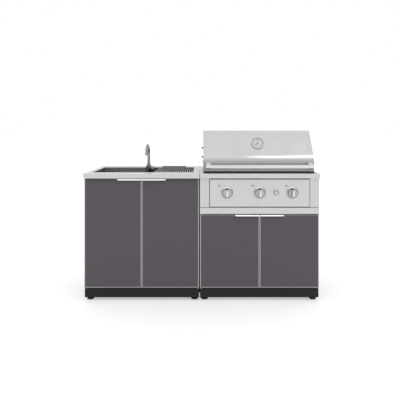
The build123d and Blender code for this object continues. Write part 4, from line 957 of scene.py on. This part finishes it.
# %% Burner ports
# The near-black of the port plugs is painted shade.
PORT_SHADE_COLOURS = (0.004, 0.004, 0.004), (0.012, 0.011, 0.01)
port_shade_paint = painted(
    "port_soot", PORT_SHADE_COLOURS, (0.8, 0.95), 500.0,
    detail=3.0, specular=0.2, grain=0.2, depth=0.2 * MM,
)
PORTS = 34
PORT_RADIUS = 1.7 * MM
PORT_HEIGHT = 0.3 * MM
PORT_SINK = 0.1 * MM
PORT_LEANS = (-50, 50)
FIRST_PORT = 40 * MM
PORT_PITCH = 12.6 * MM
burner_low, burner_high = low_corner("burners"), high_corner("burners")
burner_axis = middle("burners").z
tube_radius = (burner_high.z - burner_low.z) / 2
on_tube = Matrix.Translation((0, 0, tube_radius - PORT_SINK))
ports = bmesh.new()
for side in knob_sides:
    x = middle(f"knob_{side}").x
    for lean in PORT_LEANS:
        outward = Matrix.Rotation(math.radians(lean), 4, "Y")
        for step in range(PORTS):
            y = burner_low.y + FIRST_PORT + step * PORT_PITCH
            place = Matrix.Translation((x, y, burner_axis)) @ outward @ on_tube
            disc(ports, PORT_RADIUS, PORT_HEIGHT, place, 8)
finish_piece(ports, "burner_ports", port_shade_paint, "cabinets")

# %% [markdown]
# A two-coloured dot on the end of the tap lever tells hot from cold. It is a thin disc cut in
# half, one half red and one blue, each its own piece since each has its own paint.

# %% Hot and cold mark
DOT_RADIUS = 5 * MM
DOT_RISE = 0.4 * MM
LIGHTER = 1.25
lever_end = high_corner("faucet_lever")
lever_axis = next(joint for joint in frame["joints"] if joint["name"] == "lever_lift")["pos_m"]
for name, colour, keep in (("hot", (0.42, 0.03, 0.025), 1), ("cold", (0.03, 0.09, 0.36), -1)):
    colours = colour, shade(colour, LIGHTER)
    paint = painted(f"{name}_enamel", colours, (0.2, 0.3), 700.0)
    dot = bmesh.new()
    spot = Matrix.Translation((lever_end.x, lever_axis[1], lever_axis[2]))
    disc(dot, DOT_RADIUS, DOT_RISE, spot @ Matrix.Rotation(math.pi / 2, 4, "Y"), 40)
    bmesh.ops.bisect_plane(
        dot, geom=dot.verts[:] + dot.edges[:] + dot.faces[:], plane_co=spot.translation,
        plane_no=(0, keep, 0), clear_outer=True,
    )
    bmesh.ops.holes_fill(dot, edges=[edge for edge in dot.edges if edge.is_boundary])
    finish_piece(dot, f"lever_{name}_mark", paint, "lever")

# %% [markdown]
# The kitchen stands in plain white. The floor and the world are white for the camera and for
# mirror reflections, while the light that falls on the kitchen comes at a plain level. The floor
# still takes a shadow because only part of its white is its own glow.

# %% Floor
FLOOR_REACH = 60.0
FLOOR_WHITE = 0.72
FLOOR_GLOW = 0.45


def seen_by_eye(tree):
    """One for a ray from the camera, a mirror or a glass, and zero for the rest."""
    rays = add(tree, "ShaderNodeLightPath").outputs
    seen = math_node(tree, "MAXIMUM", rays["Is Camera Ray"], rays["Is Glossy Ray"])
    return math_node(tree, "MAXIMUM", seen, rays["Is Transmission Ray"])


floor_shape = bmesh.new()
bmesh.ops.create_grid(floor_shape, x_segments=1, y_segments=1, size=FLOOR_REACH)
floor_mesh = bpy.data.meshes.new("studio_floor")
floor_shape.to_mesh(floor_mesh)
floor_shape.free()
studio_floor = bpy.data.objects.new("studio_floor", floor_mesh)
scene.collection.objects.link(studio_floor)

floor_paint = bpy.data.materials.new("studio_white")
floor_paint.use_nodes = True
floor_tree = floor_paint.node_tree
floor_shader = floor_tree.nodes["Principled BSDF"]
floor_shader.inputs["Base Color"].default_value = (FLOOR_WHITE, FLOOR_WHITE, FLOOR_WHITE, 1.0)
floor_shader.inputs["Roughness"].default_value = 0.9
floor_shader.inputs["Specular IOR Level"].default_value = 0.0
floor_shader.inputs["Emission Color"].default_value = (1.0, 1.0, 1.0, 1.0)
floor_glow = math_node(floor_tree, "MULTIPLY", seen_by_eye(floor_tree), FLOOR_GLOW)
floor_tree.links.new(floor_glow, floor_shader.inputs["Emission Strength"])
floor_mesh.materials.append(floor_paint)
print("floor reaches", FLOOR_REACH, "m")

# %% [markdown]
# The world is the white room round the kitchen. Its light could be the same white that is seen. It
# is set a little weaker, so that a grey surface renders at about the grey that its material says.

# %% World
WORLD_LIGHT = 0.96
studio = bpy.data.worlds.new("studio")
scene.world = studio
studio.use_nodes = True
sky = studio.node_tree
backdrop = sky.nodes["Background"]
backdrop.inputs["Color"].default_value = (1.0, 1.0, 1.0, 1.0)
world_glow = spread(sky, seen_by_eye(sky), 0.0, 1.0, WORLD_LIGHT, 1.0)
sky.links.new(world_glow, backdrop.inputs["Strength"])
print("world light", WORLD_LIGHT)

# %% [markdown]
# Most of the light comes evenly from the white room. One large soft lamp, high in front on the
# right, adds the bright band along the bend of the hood. Its power is set so that a grey surface
# that faces the camera renders at about the grey that its material says.

# %% Lamp
LAMP_PLACE = Vector((1.7, -2.85, 4.35))
LAMP_TARGET = Vector((0.45, -0.2, 1.0))
LAMP_SIZE = (1.6, 1.1)
LAMP_POWER = 6.0
lamp = bpy.data.lights.new("key_lamp", "AREA")
lamp.shape = "RECTANGLE"
lamp.size, lamp.size_y = LAMP_SIZE
lamp.energy = LAMP_POWER
key_lamp = bpy.data.objects.new("key_lamp", lamp)
scene.collection.objects.link(key_lamp)
key_lamp.location = LAMP_PLACE
key_lamp.rotation_euler = (LAMP_TARGET - LAMP_PLACE).to_track_quat("-Z", "Y").to_euler()
print("lamp at", tuple(round(value, 2) for value in LAMP_PLACE))

# %% [markdown]
# The photo was taken level, from a little above the worktop and almost square to the front. The
# camera stays level and its picture is shifted down, as a view camera's is, so that upright edges
# stay upright.

# %% Camera
CAMERA_DISTANCE = 2.926
CAMERA_HEIGHT = 1.217
CAMERA_SIDE = -0.0115
SENSOR_WIDTH = 36.0
FOCAL_LENGTH = 37.69
PICTURE_SHIFT = -0.1785
camera_data = bpy.data.cameras.new("photo_camera")
camera_data.sensor_width = SENSOR_WIDTH
camera_data.lens = FOCAL_LENGTH
camera_data.shift_y = PICTURE_SHIFT
camera = bpy.data.objects.new("photo_camera", camera_data)
scene.collection.objects.link(camera)
camera.location = (CAMERA_SIDE, counter_front - CAMERA_DISTANCE, CAMERA_HEIGHT)
camera.rotation_euler = (math.radians(90), 0.0, 0.0)
scene.camera = camera
print("camera at", tuple(round(value, 3) for value in camera.location))
